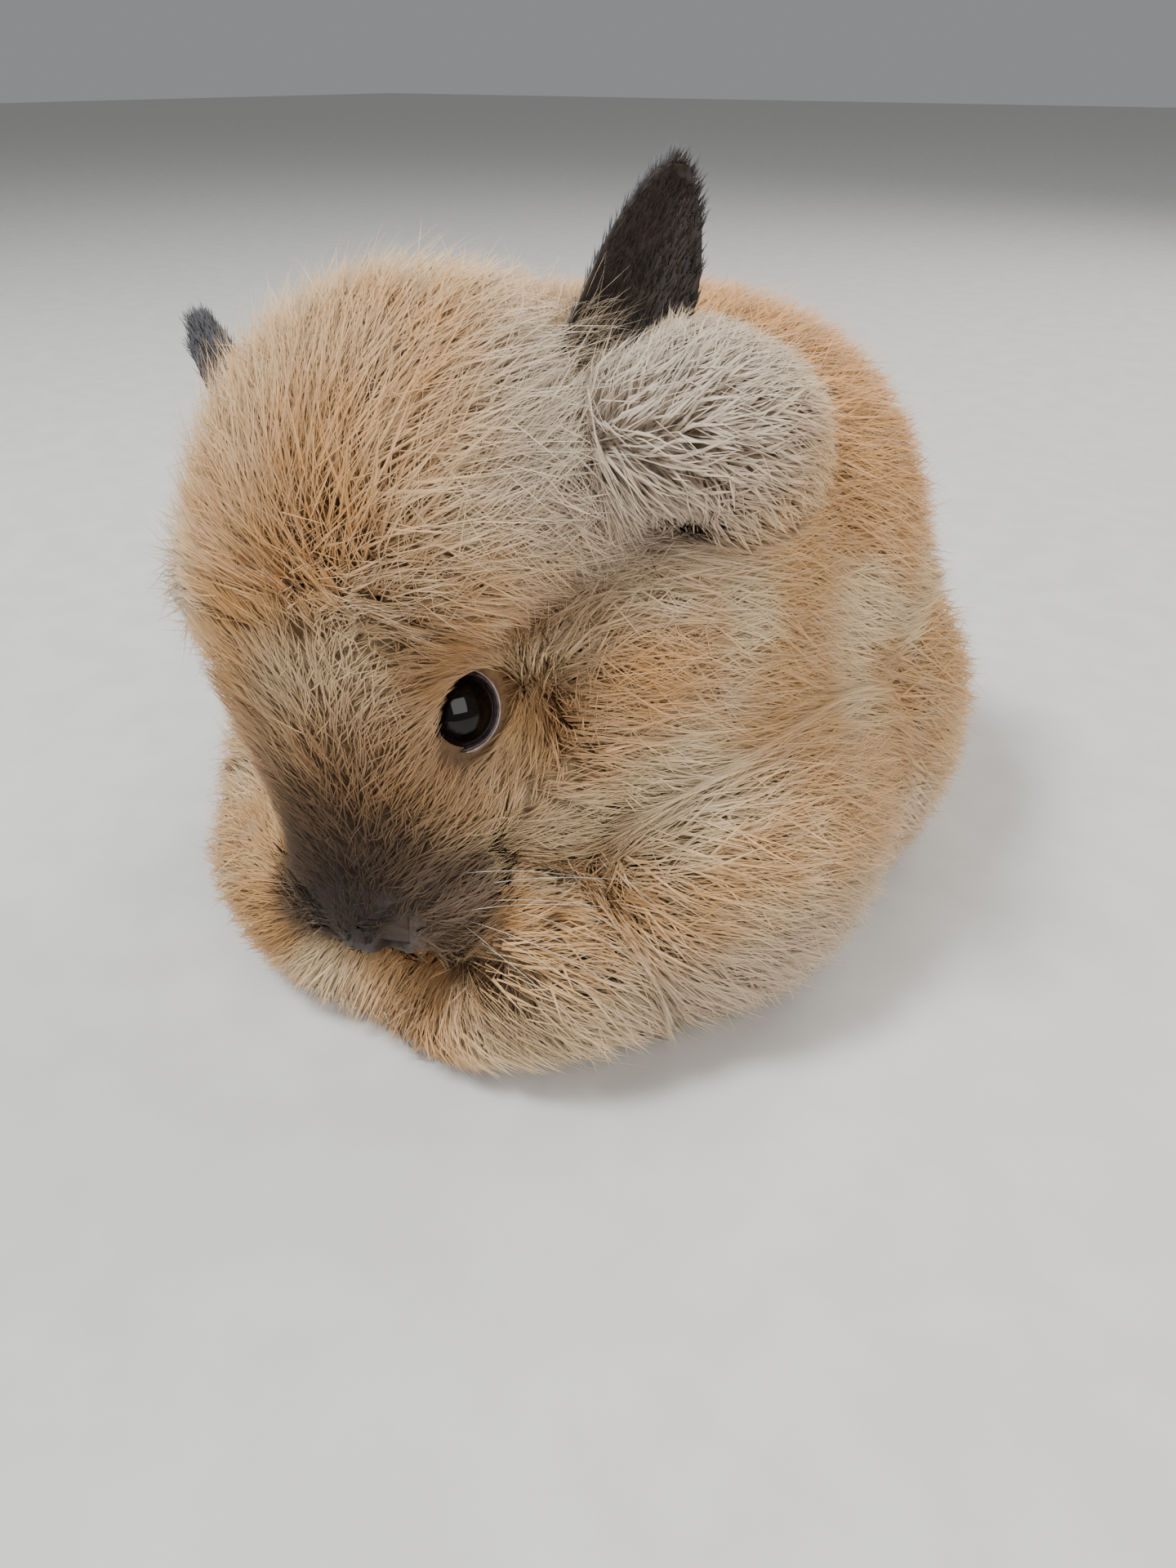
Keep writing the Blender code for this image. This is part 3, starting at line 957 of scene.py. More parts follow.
@dataclass(frozen=True)
class Growth:
    """How the tufts of one piece of the coat grow.

    Attributes:
        name: The piece's name.
        count: How many tufts it has.
        half_width: Half the width of a tuft where it is widest.
        thickness: Its thickness there.
        slant: Length of a tuft for each metre of the coat's depth.
        shortest: The least length of a tuft.
        longest: The greatest length of a tuft.
        curl: How far a tuft sways to the side, as a share of its length.
        stray: How far its direction strays, in radians.
        loose: How far the tips stand out of the coat or under it, at most.
        clump: The size of the clumps that the tips draw together in.
        seed: The seed of its random numbers.
        rings: The rings of a tuft.
        fly: The share of the tufts that stand out of the coat.
    """

    name: str
    count: int
    half_width: float
    thickness: float
    slant: float
    shortest: float
    longest: float
    curl: float
    stray: float
    loose: float
    clump: float
    seed: int
    rings: tuple = LONG_RINGS
    fly: float = 0.10


@dataclass
class Roots:
    """Places on the skin where tufts grow, with the skin's outward direction there."""

    points: np.ndarray
    normals: np.ndarray
    areas: np.ndarray


@dataclass
class Lie:
    """The way that the coat lies: away from the face, back along the body, and down its sides."""

    anatomy: Anatomy
    parting: tuple = (0.0, -0.046, -0.019)
    near: float = 0.075
    backward: tuple = (0.0, 1.0, -0.40)

    def at(self, points: np.ndarray, normals: np.ndarray) -> np.ndarray:
        """The direction in which the hair lies, along the skin.

        Args:
            points: Rows of points.
            normals: The outward direction at each.

        Returns:
            One direction of length one for each point.
        """
        anatomy = self.anatomy
        away = points - anatomy.on_head(self.parting)
        share = np.clip(1.45 - np.linalg.norm(away, axis=1) / self.near, 0, 1)[:, None]
        local = points - anatomy.shift
        aside = np.stack([local[:, 0] * 7, np.zeros(len(points)), np.full(len(points), -0.35)], axis=1)
        way = (unit(away) + 0.15 * np.array(self.backward)) * share
        way = way + (np.array(self.backward) + 0.6 * aside) * (1 - share)
        low = np.clip(1 - local[:, 2] / 0.045, 0, 1)[:, None]
        outside = unit(local * np.array((1.0, 0.6, 0.0)))
        way = way + low * (0.5 * outside + np.array((0, 0, -0.35)))
        return unit(way - normals * (way * normals).sum(axis=1, keepdims=True))


@dataclass
class Coat:
    """The coat, in pieces of solid tufts that run from the skin to the tips of the fur.

    Attributes:
        anatomy: The animal's shape.
        lie: The way that the hair lies.
        eyes: Both eyes, which the tufts leave free.
        muzzle: The muzzle, whose nostrils and lips they leave free.
        patch: The size of a tuft's patch on the bake map.
    """

    anatomy: Anatomy
    lie: Lie
    eyes: tuple
    muzzle: "Muzzle"
    patch: float = 0.003

    def grow(self, growth: Growth, roots: Roots, material: bpy.types.Material) -> bpy.types.Object:
        """Grows one piece of the coat.

        Args:
            growth: How its tufts grow.
            roots: Where they may grow.
            material: The fur's material.

        Returns:
            The piece.
        """
        draw = np.random.default_rng(growth.seed)
        anatomy = self.anatomy
        chosen = draw.choice(len(roots.points), growth.count, p=roots.areas / roots.areas.sum())
        jitter = draw.normal(0, 0.0006, (growth.count, 3))
        points = roots.points[chosen] + jitter
        normals = roots.normals[chosen]
        depth = np.maximum(anatomy.reach(points) - anatomy.muzzle_sink(points), anatomy.face_depth)
        length = np.clip(depth * growth.slant, growth.shortest, growth.longest)
        length = length * draw.uniform(0.75, 1.15, growth.count)
        way = self.lie.at(points, normals)
        across = np.cross(normals, way)
        angle = draw.normal(0, growth.stray, growth.count)[:, None]
        way = way * np.cos(angle) + across * np.sin(angle)
        across = np.cross(normals, way)
        pull = self.clumps(points + way * length[:, None], growth)
        sway = (draw.normal(0, growth.curl, growth.count) * length)[:, None]
        thick = np.minimum(depth / anatomy.body_depth, 1)
        end = draw.uniform(-0.5, 1.0, growth.count) * growth.loose * thick
        fly = draw.random(growth.count) < growth.fly
        end = np.where(fly, -draw.uniform(0.2, 1.0, growth.count) * 0.0045 * thick, end)
        paths = []
        for share, sink, _ in growth.rings + ((1.0, 0.0, 0.0),):
            bend = across * sway * math.sin(math.pi * share * 0.9)
            path = points + way * (length * share)[:, None] + bend + pull * share * share
            target = depth * sink + end * (1 - sink)
            paths.append(self.settle(path, target))
        free = self.muzzle.clear_of(paths[1]) & self.muzzle.clear_of(paths[-1]) & self.muzzle.clear_of(paths[0])
        for eye in self.eyes:
            for path in paths:
                free &= eye.clear_of(path, 0.0014)
        paths = [path[free] for path in paths]
        return self.mesh(growth, paths, normals[free], points[free], draw, material)

    def settle(self, points: np.ndarray, depth: np.ndarray) -> np.ndarray:
        """Moves points in or out until they lie at a depth under the tips, and over the floor.

        Args:
            points: Rows of points.
            depth: The depth of each.

        Returns:
            The moved points.
        """
        anatomy = self.anatomy
        for _ in range(2):
            away = anatomy.wool(points) + depth
            points = points - anatomy.slope(anatomy.wool, points) * np.clip(away, -0.012, 0.012)[:, None]
            points[:, 2] = np.maximum(points[:, 2], 0.0006)
        return points

    def clumps(self, ends: np.ndarray, growth: Growth) -> np.ndarray:
        """How each tip is drawn towards the middle of its clump.

        Args:
            ends: Where the tips would lie.
            growth: How the tufts grow.

        Returns:
            One small move for each tip.
        """
        cell = np.round(ends / growth.clump)
        code = cell @ np.array((12.9898, 78.233, 37.719))
        shift = np.stack([np.sin(code * k) for k in (1.0, 1.7, 2.3)], axis=1) * 0.35
        middle = (cell + shift) * growth.clump
        return (middle - ends) * 0.45

    def mesh(self, growth, paths, normals, roots, draw, material) -> bpy.types.Object:
        """Skins the tufts and gives them their attributes, normals and bake map.

        Args:
            growth: How the tufts grow.
            paths: For each ring and the tip, the tufts' middle points.
            normals: The skin's outward direction at each root.
            roots: The roots.
            draw: The random numbers.
            material: The fur's material.

        Returns:
            The piece.
        """
        count = len(roots)
        rings = len(growth.rings)
        size = rings * TUFT_SIDES + 1
        scale = draw.uniform(0.7, 1.2, count)[:, None]
        verts = np.zeros((count, size, 3))
        along = np.zeros((count, size))
        turned = np.zeros((count, size, 3))
        for i, (share, _, width) in enumerate(growth.rings):
            ahead = unit(paths[i + 1] - paths[i])
            across = unit(np.cross(normals, ahead))
            up = np.cross(ahead, across)
            half = across * growth.half_width * width * scale
            thick = up * growth.thickness * width * scale
            for k, place in enumerate((paths[i] + half, paths[i] + thick, paths[i] - half)):
                verts[:, i * TUFT_SIDES + k] = place
                along[:, i * TUFT_SIDES + k] = share
            for k, tilt in enumerate((0.55, 0.0, -0.55)):
                turned[:, i * TUFT_SIDES + k] = unit(up + across * tilt)
        verts[:, -1] = paths[-1]
        along[:, -1] = 1.0
        turned[:, -1] = turned[:, -1 - TUFT_SIDES + 1]
        verts[:, :, 2] = np.maximum(verts[:, :, 2], 0.0004)
        faces = self.tuft_faces(rings)
        mesh = bpy.data.meshes.new(growth.name)
        corners = (faces[None] + (np.arange(count) * size)[:, None, None]).reshape(-1, 3)
        mesh.vertices.add(count * size)
        mesh.vertices.foreach_set("co", verts.ravel())
        mesh.loops.add(corners.size)
        mesh.loops.foreach_set("vertex_index", corners.ravel().astype(np.int32))
        mesh.polygons.add(len(corners))
        mesh.polygons.foreach_set("loop_start", np.arange(0, corners.size, 3, dtype=np.int32))
        mesh.polygons.foreach_set("loop_total", np.full(len(corners), 3, np.int32))
        mesh.update()
        mesh.shade_smooth()
        self.attributes(mesh, along, draw.uniform(0, 1, count), corners, roots)
        mesh.normals_split_custom_set_from_vertices(turned.reshape(-1, 3))
        mesh.materials.append(material)
        obj = bpy.data.objects.new(growth.name, mesh)
        bpy.context.scene.collection.objects.link(obj)
        log.info("%s: %d tufts, %d triangles", growth.name, count, len(corners))
        return obj

    def tuft_faces(self, rings: int) -> np.ndarray:
        """The triangles of one tuft, closed at its root.

        Args:
            rings: The number of its rings.

        Returns:
            Rows of three vertex numbers.
        """
        faces = [(0, 2, 1)]
        for i in range(rings - 1):
            for k in range(TUFT_SIDES):
                near, beside = i * TUFT_SIDES + k, i * TUFT_SIDES + (k + 1) % TUFT_SIDES
                faces += [(near, beside, near + TUFT_SIDES), (beside, beside + TUFT_SIDES, near + TUFT_SIDES)]
        last = (rings - 1) * TUFT_SIDES
        for k in range(TUFT_SIDES):
            faces.append((last + k, last + (k + 1) % TUFT_SIDES, rings * TUFT_SIDES))
        return np.array(faces)

    def attributes(self, mesh, along, vary, corners, roots) -> None:
        """Writes the attributes that the finish reads, and the bake map.

        Args:
            mesh: The piece's mesh.
            along: How far along its tuft each vertex lies.
            vary: A random number for each tuft.
            corners: The triangles' vertex numbers.
            roots: The roots.
        """
        size = along.shape[1]
        for name, values in (("along", along.ravel()), ("vary", np.repeat(vary, size))):
            layer = mesh.attributes.new(name, "FLOAT", "POINT")
            layer.data.foreach_set("value", values.astype(np.float32))
        centre = self.anatomy.shift + np.array((0.0, -0.020, 0.055))
        way = unit(roots - centre)
        around = np.arctan2(way[:, 0], -way[:, 1]) / math.tau + 0.5
        up = np.arcsin(np.clip(way[:, 2], -1, 1)) / math.pi + 0.5
        beside = np.append(np.tile((0.0, 0.5, 1.0), size // TUFT_SIDES), 0.5)
        patch = np.stack([beside, along[0]], axis=1) * self.patch
        base = np.stack([around, up], axis=1) * (1 - self.patch)
        places = (base[:, None, :] + patch[None]).reshape(-1, 2)
        layer = mesh.uv_layers.new(name="OFBake")
        layer.data.foreach_set("uv", places[corners.ravel()].astype(np.float32).ravel())


@dataclass
class Muzzle:
    """The fine nose and lips, over the coarser skin.

    Attributes:
        anatomy: The animal's shape.
        middle: The point from which its surface is drawn, in the head's frame.
        depth: How far its surface lies under the tips of the short hair.
        reach: How far from its middle it ends, inside the head.
    """

    anatomy: Anatomy
    middle: tuple = (0.0, -0.0270, -0.0190)
    depth: float = 0.0007
    reach: float = 0.0150

    def build(self, material: bpy.types.Material) -> bpy.types.Object:
        """Draws the surface out to the face from its middle, with its grooves.

        Args:
            material: The muzzle's material.

        Returns:
            The muzzle.
        """
        bm = bmesh.new()
        bmesh.ops.create_icosphere(bm, subdivisions=7, radius=1.0)
        ways = np.array([vert.co for vert in bm.verts])
        ways = unit(ways)
        anatomy = self.anatomy
        turned = ways @ anatomy.frame[:3, :3].T
        middle = anatomy.on_head(self.middle)
        reach = np.full(len(ways), 0.010)
        for _ in range(10):
            reach = reach - anatomy.face(middle + turned * reach[:, None]) * 0.8 - self.depth * 0.8
            reach = np.clip(reach, 0.002, self.reach)
        local = np.array(self.middle) + ways * reach[:, None]
        lips, nostrils = self.grooves(local)
        sink = nostrils * NOSTRIL.depth + lips * MOUTH.depth
        points = middle + turned * (reach - sink)[:, None]
        for vert, point in zip(bm.verts, points):
            vert.co = Vector(point)
        obj = mesh_object("muzzle", bm, material)
        for name, values in (("lip", lips), ("nostril", nostrils)):
            layer = obj.data.attributes.new(name, "FLOAT", "POINT")
            layer.data.foreach_set("value", values.astype(np.float32))
        return obj

    def grooves(self, local: np.ndarray) -> tuple:
        """How much of the lips and of the nostrils each point has.

        Args:
            local: Rows of points in the head's frame.

        Returns:
            The lips' shares and the nostrils' shares.
        """
        lips = np.maximum(CLEFT.share(local, 1) * CLEFT.depth / MOUTH.depth, 0)
        nostrils = np.zeros(len(local))
        for side in Side:
            lips = np.maximum(lips, MOUTH.share(local, side.value))
            nostrils = np.maximum(nostrils, NOSTRIL.share(local, side.value))
        return lips, nostrils

    def clear_of(self, points: np.ndarray) -> np.ndarray:
        """Which points leave the nostrils and the lips free.

        Args:
            points: Rows of points.

        Returns:
            True for each point that does.
        """
        lips, nostrils = self.grooves(self.anatomy.in_head(points))
        return np.maximum(lips * 0.8, nostrils) < 0.08


@dataclass(frozen=True)
class MuzzleFinish:
    """The finish of the muzzle: dark velvet, moist pink lips, and nostrils painted near black as the shade in their
    openings.
    """

    name: str = "muzzle"

    def build(self, markings: Markings) -> bpy.types.Material:
        """Makes the material.

        Args:
            markings: The colours of the coat, with painted shade in its creases.

        Returns:
            The material.
        """
        material = bpy.data.materials.new(self.name)
        material.use_nodes = True
        sketch = NodeSketch(material.node_tree)
        shader = material.node_tree.nodes["Principled BSDF"]
        place = sketch.add("ShaderNodeTexCoord").outputs["Object"]
        nap = sketch.noise(place, 1400.0, 3.0)
        group = sketch.add("ShaderNodeGroup", node_tree=markings.group)
        color = sketch.mix(sketch.between(nap, 0.35, 0.65, 0.15, 0.6), group.outputs["Color"], (0.018, 0.011, 0.009))
        lip = sketch.add("ShaderNodeAttribute", attribute_name="lip").outputs["Fac"]
        color = sketch.mix(sketch.between(lip, 0.25, 0.85), color, (0.420, 0.200, 0.170))
        # Painted shade: the nostril grooves are darkened to near black for the shade inside the openings.
        nostril = sketch.add("ShaderNodeAttribute", attribute_name="nostril").outputs["Fac"]
        color = sketch.mix(sketch.between(nostril, 0.25, 0.8), color, (0.006, 0.003, 0.003))
        sketch.plug(color, shader.inputs["Base Color"])
        bump = sketch.add("ShaderNodeBump")
        bump.inputs["Strength"].default_value = 0.6
        bump.inputs["Distance"].default_value = 0.0003
        sketch.plug(nap, bump.inputs["Height"])
        sketch.plug(bump.outputs["Normal"], shader.inputs["Normal"])
        shader.inputs["Roughness"].default_value = 0.6
        return material


# Rings round the eye's opening: how far beyond it, and how proud of the ball.
LID_RIM = ((0.0, 0.0), (0.0001, 0.0005), (0.0004, 0.0007), (0.0008, 0.0005), (0.0009, 0.0))
LID_SKIN = ((0.0005, 0.0001), (0.0009, 0.0007), (0.0018, 0.0008), (0.0032, 0.0002), (0.0046, -0.0012), (0.0058, -0.0036))


@dataclass(frozen=True)
class Eye:
    """One eye with its lids.

    Attributes:
        anatomy: The animal's shape.
        side: The eye's side.
        middle: Its middle, in the head's frame, on the left.
        radius: The ball's radius.
        facing: The way that it looks, on the left.
        opening: The half length and half height of the opening between the lids.
        slant: How far the opening is turned.
    """

    anatomy: Anatomy
    side: Side
    middle: tuple = (0.0135, 0.0, 0.0)
    radius: float = 0.0077
    facing: tuple = (0.93, -0.26, 0.25)
    opening: tuple = (0.0066, 0.0056)
    slant: float = math.radians(10)

    def axes(self) -> tuple:
        """The eye's middle and its three directions.

        Returns:
            The middle, the way out, the way along the opening and the way up it.
        """
        mirror = np.array((self.side.value, 1, 1))
        middle = self.anatomy.on_head(tuple(np.array(self.middle) * mirror))
        out = self.anatomy.head_way(tuple(np.array(self.facing) * mirror))
        level = self.anatomy.head_way((0.0, math.cos(self.slant), math.sin(self.slant)))
        level = unit(level - out * (level @ out))
        up = np.cross(out, level)
        if up @ self.anatomy.head_way((0, 0, 1)) < 0:
            up = -up
        return middle, out, level, up

    def ball(self, material: bpy.types.Material) -> bpy.types.Object:
        """The eyeball, with its cornea standing a little proud.

        Args:
            material: The eye's material.

        Returns:
            The ball.
        """
        middle, out, _, _ = self.axes()
        bm = bmesh.new()
        bmesh.ops.create_uvsphere(bm, u_segments=48, v_segments=32, radius=self.radius)
        for vert in bm.verts:
            way = np.array(vert.co) / self.radius
            bulge = 1 + 0.06 * max(0.0, float(way @ out) - 0.55)
            vert.co = Vector(middle + way * self.radius * bulge)
        return mesh_object(f"eyeball_{self.side.word}", bm, material)

    def lids(self, name: str, profile: tuple, material: bpy.types.Material) -> bpy.types.Object:
        """A soft ring round the opening between the lids.

        Args:
            name: The ring's name.
            profile: For each of its rings, how far beyond the opening and how proud of the ball.
            material: The ring's material.

        Returns:
            The ring.
        """
        middle, out, level, up = self.axes()
        steps = 56
        bm = bmesh.new()
        rings = []
        for beyond, proud in profile:
            ring = []
            for i in range(steps):
                angle = math.tau * i / steps
                along = math.cos(angle)
                corner = max(0.0, -along) ** 6
                half_long = self.opening[0] + beyond + 0.0014 * corner
                half_high = self.opening[1] + beyond
                flat = level * along * half_long + up * math.sin(angle) * half_high * (1 - 0.35 * corner)
                radius = self.radius + 0.00025 + proud
                depth = math.sqrt(max(radius ** 2 - float(flat @ flat), 1e-8))
                ring.append(bm.verts.new(Vector(middle + flat + out * depth)))
            rings.append(ring)
        for near, far in zip(rings, rings[1:]):
            for i in range(steps):
                j = (i + 1) % steps
                bm.faces.new((near[i], near[j], far[j], far[i]))
        inner = [bm.verts.new(Vector(middle + (np.array(v.co) - middle) * 0.93)) for v in rings[0]]
        for i in range(steps):
            j = (i + 1) % steps
            bm.faces.new((inner[j], inner[i], rings[0][i], rings[0][j]))
        return mesh_object(f"{name}_{self.side.word}", bm, material)

    def clear_of(self, points: np.ndarray, room: float) -> np.ndarray:
        """Which points leave the opening between the lids free.

        Args:
            points: Rows of points.
            room: How far beyond the opening they must be.

        Returns:
            True for each point that does.
        """
        middle, out, level, up = self.axes()
        offset = points - middle
        long_way = (offset @ level) / (self.opening[0] + room)
        high_way = (offset @ up) / (self.opening[1] + room)
        return (offset @ out < 0) | (long_way ** 2 + high_way ** 2 > 1)


@dataclass(frozen=True)
class Ear:
    """The hair of one ear, over its leaf in the frame.

    Attributes:
        anatomy: The animal's shape.
        side: The ear's side.
        base: The ear's foot, in the head's frame, on the left.
        length: The ear's length.
        axis: The way that it points, in the head's frame.
        mouth: The way that its cup opens, in the head's frame.
    """

    anatomy: Anatomy
    side: Side
    length: float
    axis: tuple
    mouth: tuple
    base: tuple = (0.0220, 0.0340, 0.0090)
    bow: float = 0.0045
    wall: float = 0.0016

    # Each row is a section across the ear: share of its length, half width, depth of the cup.
    sections = (
        (0.00, 0.0070, 0.0100),
        (0.14, 0.0088, 0.0112),
        (0.30, 0.0110, 0.0105),
        (0.48, 0.0125, 0.0090),
        (0.66, 0.0122, 0.0074),
        (0.80, 0.0102, 0.0060),
        (0.91, 0.0070, 0.0044),
        (0.98, 0.0032, 0.0030),
        (1.00, 0.0004, 0.0008),
    )

    def at(self, share: np.ndarray, across: np.ndarray, inside: bool) -> np.ndarray:
        """Points on the ear.

        Args:
            share: How far up the ear each lies.
            across: How far to its side each lies, from -1 to 1.
            inside: Whether they lie in its cup or on its back.

        Returns:
            Rows of points.
        """
        axis = self.anatomy.head_way(self.axis)
        mouth = self.anatomy.head_way(self.mouth)
        mouth = unit(mouth - axis * (mouth @ axis))
        aside = np.cross(axis, mouth)
        foot = self.anatomy.on_head(tuple(np.array(self.base) * np.array((self.side.value, 1, 1))))
        rows = np.array(self.sections)
        half = np.interp(share, rows[:, 0], rows[:, 1])
        depth = np.interp(share, rows[:, 0], rows[:, 2])
        bulge = 1 - across ** 2
        middle = foot + np.outer(share * self.length, axis) + np.outer(self.bow * 4 * share * (1 - share), mouth)
        deep = depth * bulge
        if inside:
            deep = deep - self.wall * (0.35 + 0.65 * bulge)
        return middle + np.outer(half * across, aside) - np.outer(deep, mouth)

    def leaf(self, material: bpy.types.Material) -> bpy.types.Object:
        """The ear's leaf, finer than the frame's.

        Args:
            material: The ear's material.

        Returns:
            The leaf, closed all round.
        """
        bm = bmesh.new()
        rows, columns = 36, 24
        shares = np.linspace(0, 1, rows)
        acrosses = np.linspace(-1, 1, columns)
        loops = []
        for share in shares:
            outer = self.at(np.full(columns, share), acrosses, False)
            inner = self.at(np.full(columns, share), acrosses[::-1] * 0.94, True)
            loops.append([bm.verts.new(Vector(point)) for point in np.vstack([outer, inner])])
        for near, far in zip(loops, loops[1:]):
            for i in range(len(near)):
                j = (i + 1) % len(near)
                bm.faces.new((near[i], near[j], far[j], far[i]))
        bm.faces.new(loops[0])
        bm.faces.new(loops[-1])
        bmesh.ops.triangulate(bm, faces=[face for face in bm.faces if len(face.verts) > 4])
        return mesh_object(f"ear_leaf_{self.side.word}", bm, material)


EARS = {
    Side.LEFT: {"length": 0.067, "axis": (0.347, 0.861, 0.370), "mouth": (0.89, -0.45, 0.05)},
    Side.RIGHT: {"length": 0.062, "axis": (-0.632, 0.558, 0.538), "mouth": (-0.93, -0.05, 0.37)},
}


@dataclass
class Fringe:
    """Hairs that are drawn one by one, such as whiskers and the hair of the ears.

    Attributes:
        name: The piece's name.
        sides: The sides of a hair.
        steps: Its rings.
    """

    name: str
    steps: int = 7
    starts: list = field(default_factory=list)
    ways: list = field(default_factory=list)
    bends: list = field(default_factory=list)
    widths: list = field(default_factory=list)

    def hair(self, start: np.ndarray, way: np.ndarray, bend: np.ndarray, width: float) -> None:
        """Adds one hair.

        Args:
            start: Its root.
            way: From its root to its tip, before it bends.
            bend: How far its tip is bent aside.
            width: Its half width at the root.
        """
        self.starts.append(start)
        self.ways.append(way)
        self.bends.append(bend)
        self.widths.append(width)

    def build(self, material: bpy.types.Material, anatomy: Anatomy) -> bpy.types.Object:
        """Makes the hairs as one mesh of tapered, three-sided tubes.

        Args:
            material: Their material.
            anatomy: The animal's shape.

        Returns:
            The piece.
        """
        starts, ways, bends = np.array(self.starts), np.array(self.ways), np.array(self.bends)
        widths = np.array(self.widths)[:, None]
        count = len(starts)
        shares = np.linspace(0, 1, self.steps + 1)
        side = unit(np.cross(ways, np.array((0.3, 0.2, 1.0))))
        up = unit(np.cross(side, ways))
        size = self.steps * 3 + 1
        verts = np.zeros((count, size, 3))
        along = np.zeros((count, size))
        for i, share in enumerate(shares[:-1]):
            middle = starts + ways * share + bends * share ** 2
            taper = widths * (1 - 0.85 * share)
            for k in range(3):
                angle = math.tau * k / 3
                verts[:, i * 3 + k] = middle + (side * math.cos(angle) + up * math.sin(angle)) * taper
                along[:, i * 3 + k] = share
        verts[:, -1] = starts + ways + bends
        along[:, -1] = 1
        verts[:, :, 2] = np.maximum(verts[:, :, 2], 0.0004)
        faces = [(0, 2, 1)]
        for i in range(self.steps - 1):
            for k in range(3):
                near, beside = i * 3 + k, i * 3 + (k + 1) % 3
                faces += [(near, beside, near + 3), (beside, beside + 3, near + 3)]
        last = (self.steps - 1) * 3
        faces += [(last + k, last + (k + 1) % 3, size - 1) for k in range(3)]
        faces = np.array(faces)
        corners = (faces[None] + (np.arange(count) * size)[:, None, None]).reshape(-1, 3)
        mesh = bpy.data.meshes.new(self.name)
        mesh.from_pydata(verts.reshape(-1, 3).tolist(), [], corners.tolist())
        mesh.shade_smooth()
        layer = mesh.attributes.new("along", "FLOAT", "POINT")
        layer.data.foreach_set("value", along.ravel().astype(np.float32))
        vary = np.random.default_rng(3).uniform(0, 1, count)
        layer = mesh.attributes.new("vary", "FLOAT", "POINT")
        layer.data.foreach_set("value", np.repeat(vary, size).astype(np.float32))
        centre = anatomy.shift + np.array((0.0, -0.020, 0.055))
        way = unit(starts - centre)
        base = np.stack([np.arctan2(way[:, 0], -way[:, 1]) / math.tau + 0.5, np.arcsin(way[:, 2]) / math.pi + 0.5], axis=1)
        places = np.repeat(base, size, axis=0) * 0.997 + np.stack([along.ravel() * 0.003] * 2, axis=1)
        uv = mesh.uv_layers.new(name="OFBake")
        uv.data.foreach_set("uv", places[corners.ravel()].astype(np.float32).ravel())
        mesh.materials.append(material)
        obj = bpy.data.objects.new(self.name, mesh)
        bpy.context.scene.collection.objects.link(obj)
        log.info("%s: %d hairs", self.name, count)
        return obj


GROWTHS = (
    Growth("coat_under_front", 19000, 0.00032, 0.00018, 1.20, 0.0022, 0.018, 0.06, 0.45, 0.0020, 0.004, 21, SHORT_RINGS, 0),
    Growth("coat_under_back", 19000, 0.00034, 0.00018, 1.20, 0.0022, 0.018, 0.06, 0.45, 0.0020, 0.004, 22, SHORT_RINGS, 0),
    Growth("coat_face", 19500, 0.00012, 0.00008, 2.6, 0.0026, 0.010, 0.08, 0.30, 0.0008, 0.002, 23, SHORT_RINGS, 0.05),
    Growth("coat_head", 19500, 0.00012, 0.00008, 1.25, 0.0035, 0.020, 0.10, 0.55, 0.0028, 0.004, 24, SHORT_RINGS, 0.16),
    Growth("coat_mane", 19500, 0.00013, 0.00008, 1.25, 0.0040, 0.020, 0.09, 0.38, 0.0030, 0.005, 25, SHORT_RINGS, 0.12),
    Growth("coat_flank", 19500, 0.00013, 0.00008, 1.50, 0.0040, 0.026, 0.09, 0.34, 0.0030, 0.005, 26, SHORT_RINGS, 0.10),
    Growth("coat_back", 19500, 0.00013, 0.00008, 1.50, 0.0040, 0.026, 0.09, 0.34, 0.0030, 0.005, 27, SHORT_RINGS, 0.10),
)


@dataclass
class Regions:
    """Which of the skin's roots each piece of the coat may use."""

    anatomy: Anatomy
    eyes: tuple

    def roots(self, skin: bpy.types.Object) -> Roots:
        """All the places on the skin, one for each face.

        Args:
            skin: The skin.

        Returns:
            The places, with the skin's outward direction and the faces' areas.
        """
        mesh = skin.data
        count = len(mesh.polygons)
        centres, normals, areas = np.zeros(count * 3), np.zeros(count * 3), np.zeros(count)
        mesh.polygons.foreach_get("center", centres)
        mesh.polygons.foreach_get("normal", normals)
        mesh.polygons.foreach_get("area", areas)
        return Roots(centres.reshape(-1, 3), normals.reshape(-1, 3), areas)

    def pick(self, name: str, roots: Roots) -> Roots:
        """The roots of one piece, weighted by how dense its tufts are.

        Args:
            name: The piece's name.
            roots: All the roots.

        Returns:
            The same roots with the piece's weights.
        """
        anatomy = self.anatomy
        local = anatomy.in_head(roots.points)
        body = roots.points - anatomy.shift
        short = anatomy.reach(roots.points) < 0.0075
        face = short & (np.abs(local).max(axis=1) < 0.05) & (body[:, 2] > 0.012)
        head = ~face & (np.linalg.norm(local - np.array((0.0, 0.016, 0.004)), axis=1) < 0.046)
        front = body[:, 1] < -0.035
        weights = {
            "coat_under_front": front & ~face,
            "coat_under_back": ~front,
            "coat_face": face,
            "coat_head": head,
            "coat_mane": ~head & ~face & front & (body[:, 2] > 0.020),
            "coat_flank": ~head & ~face & (body[:, 2] < 0.055),
            "coat_back": ~head & ~face & (body[:, 2] >= 0.045) & (body[:, 1] > -0.045),
        }[name].astype(float)
        for eye in self.eyes:
            weights *= eye.clear_of(roots.points, 0.0024)
        weights *= (body[:, 2] > 0.0022) | (roots.normals[:, 2] > -0.5)
        return Roots(roots.points, roots.normals, roots.areas * weights)


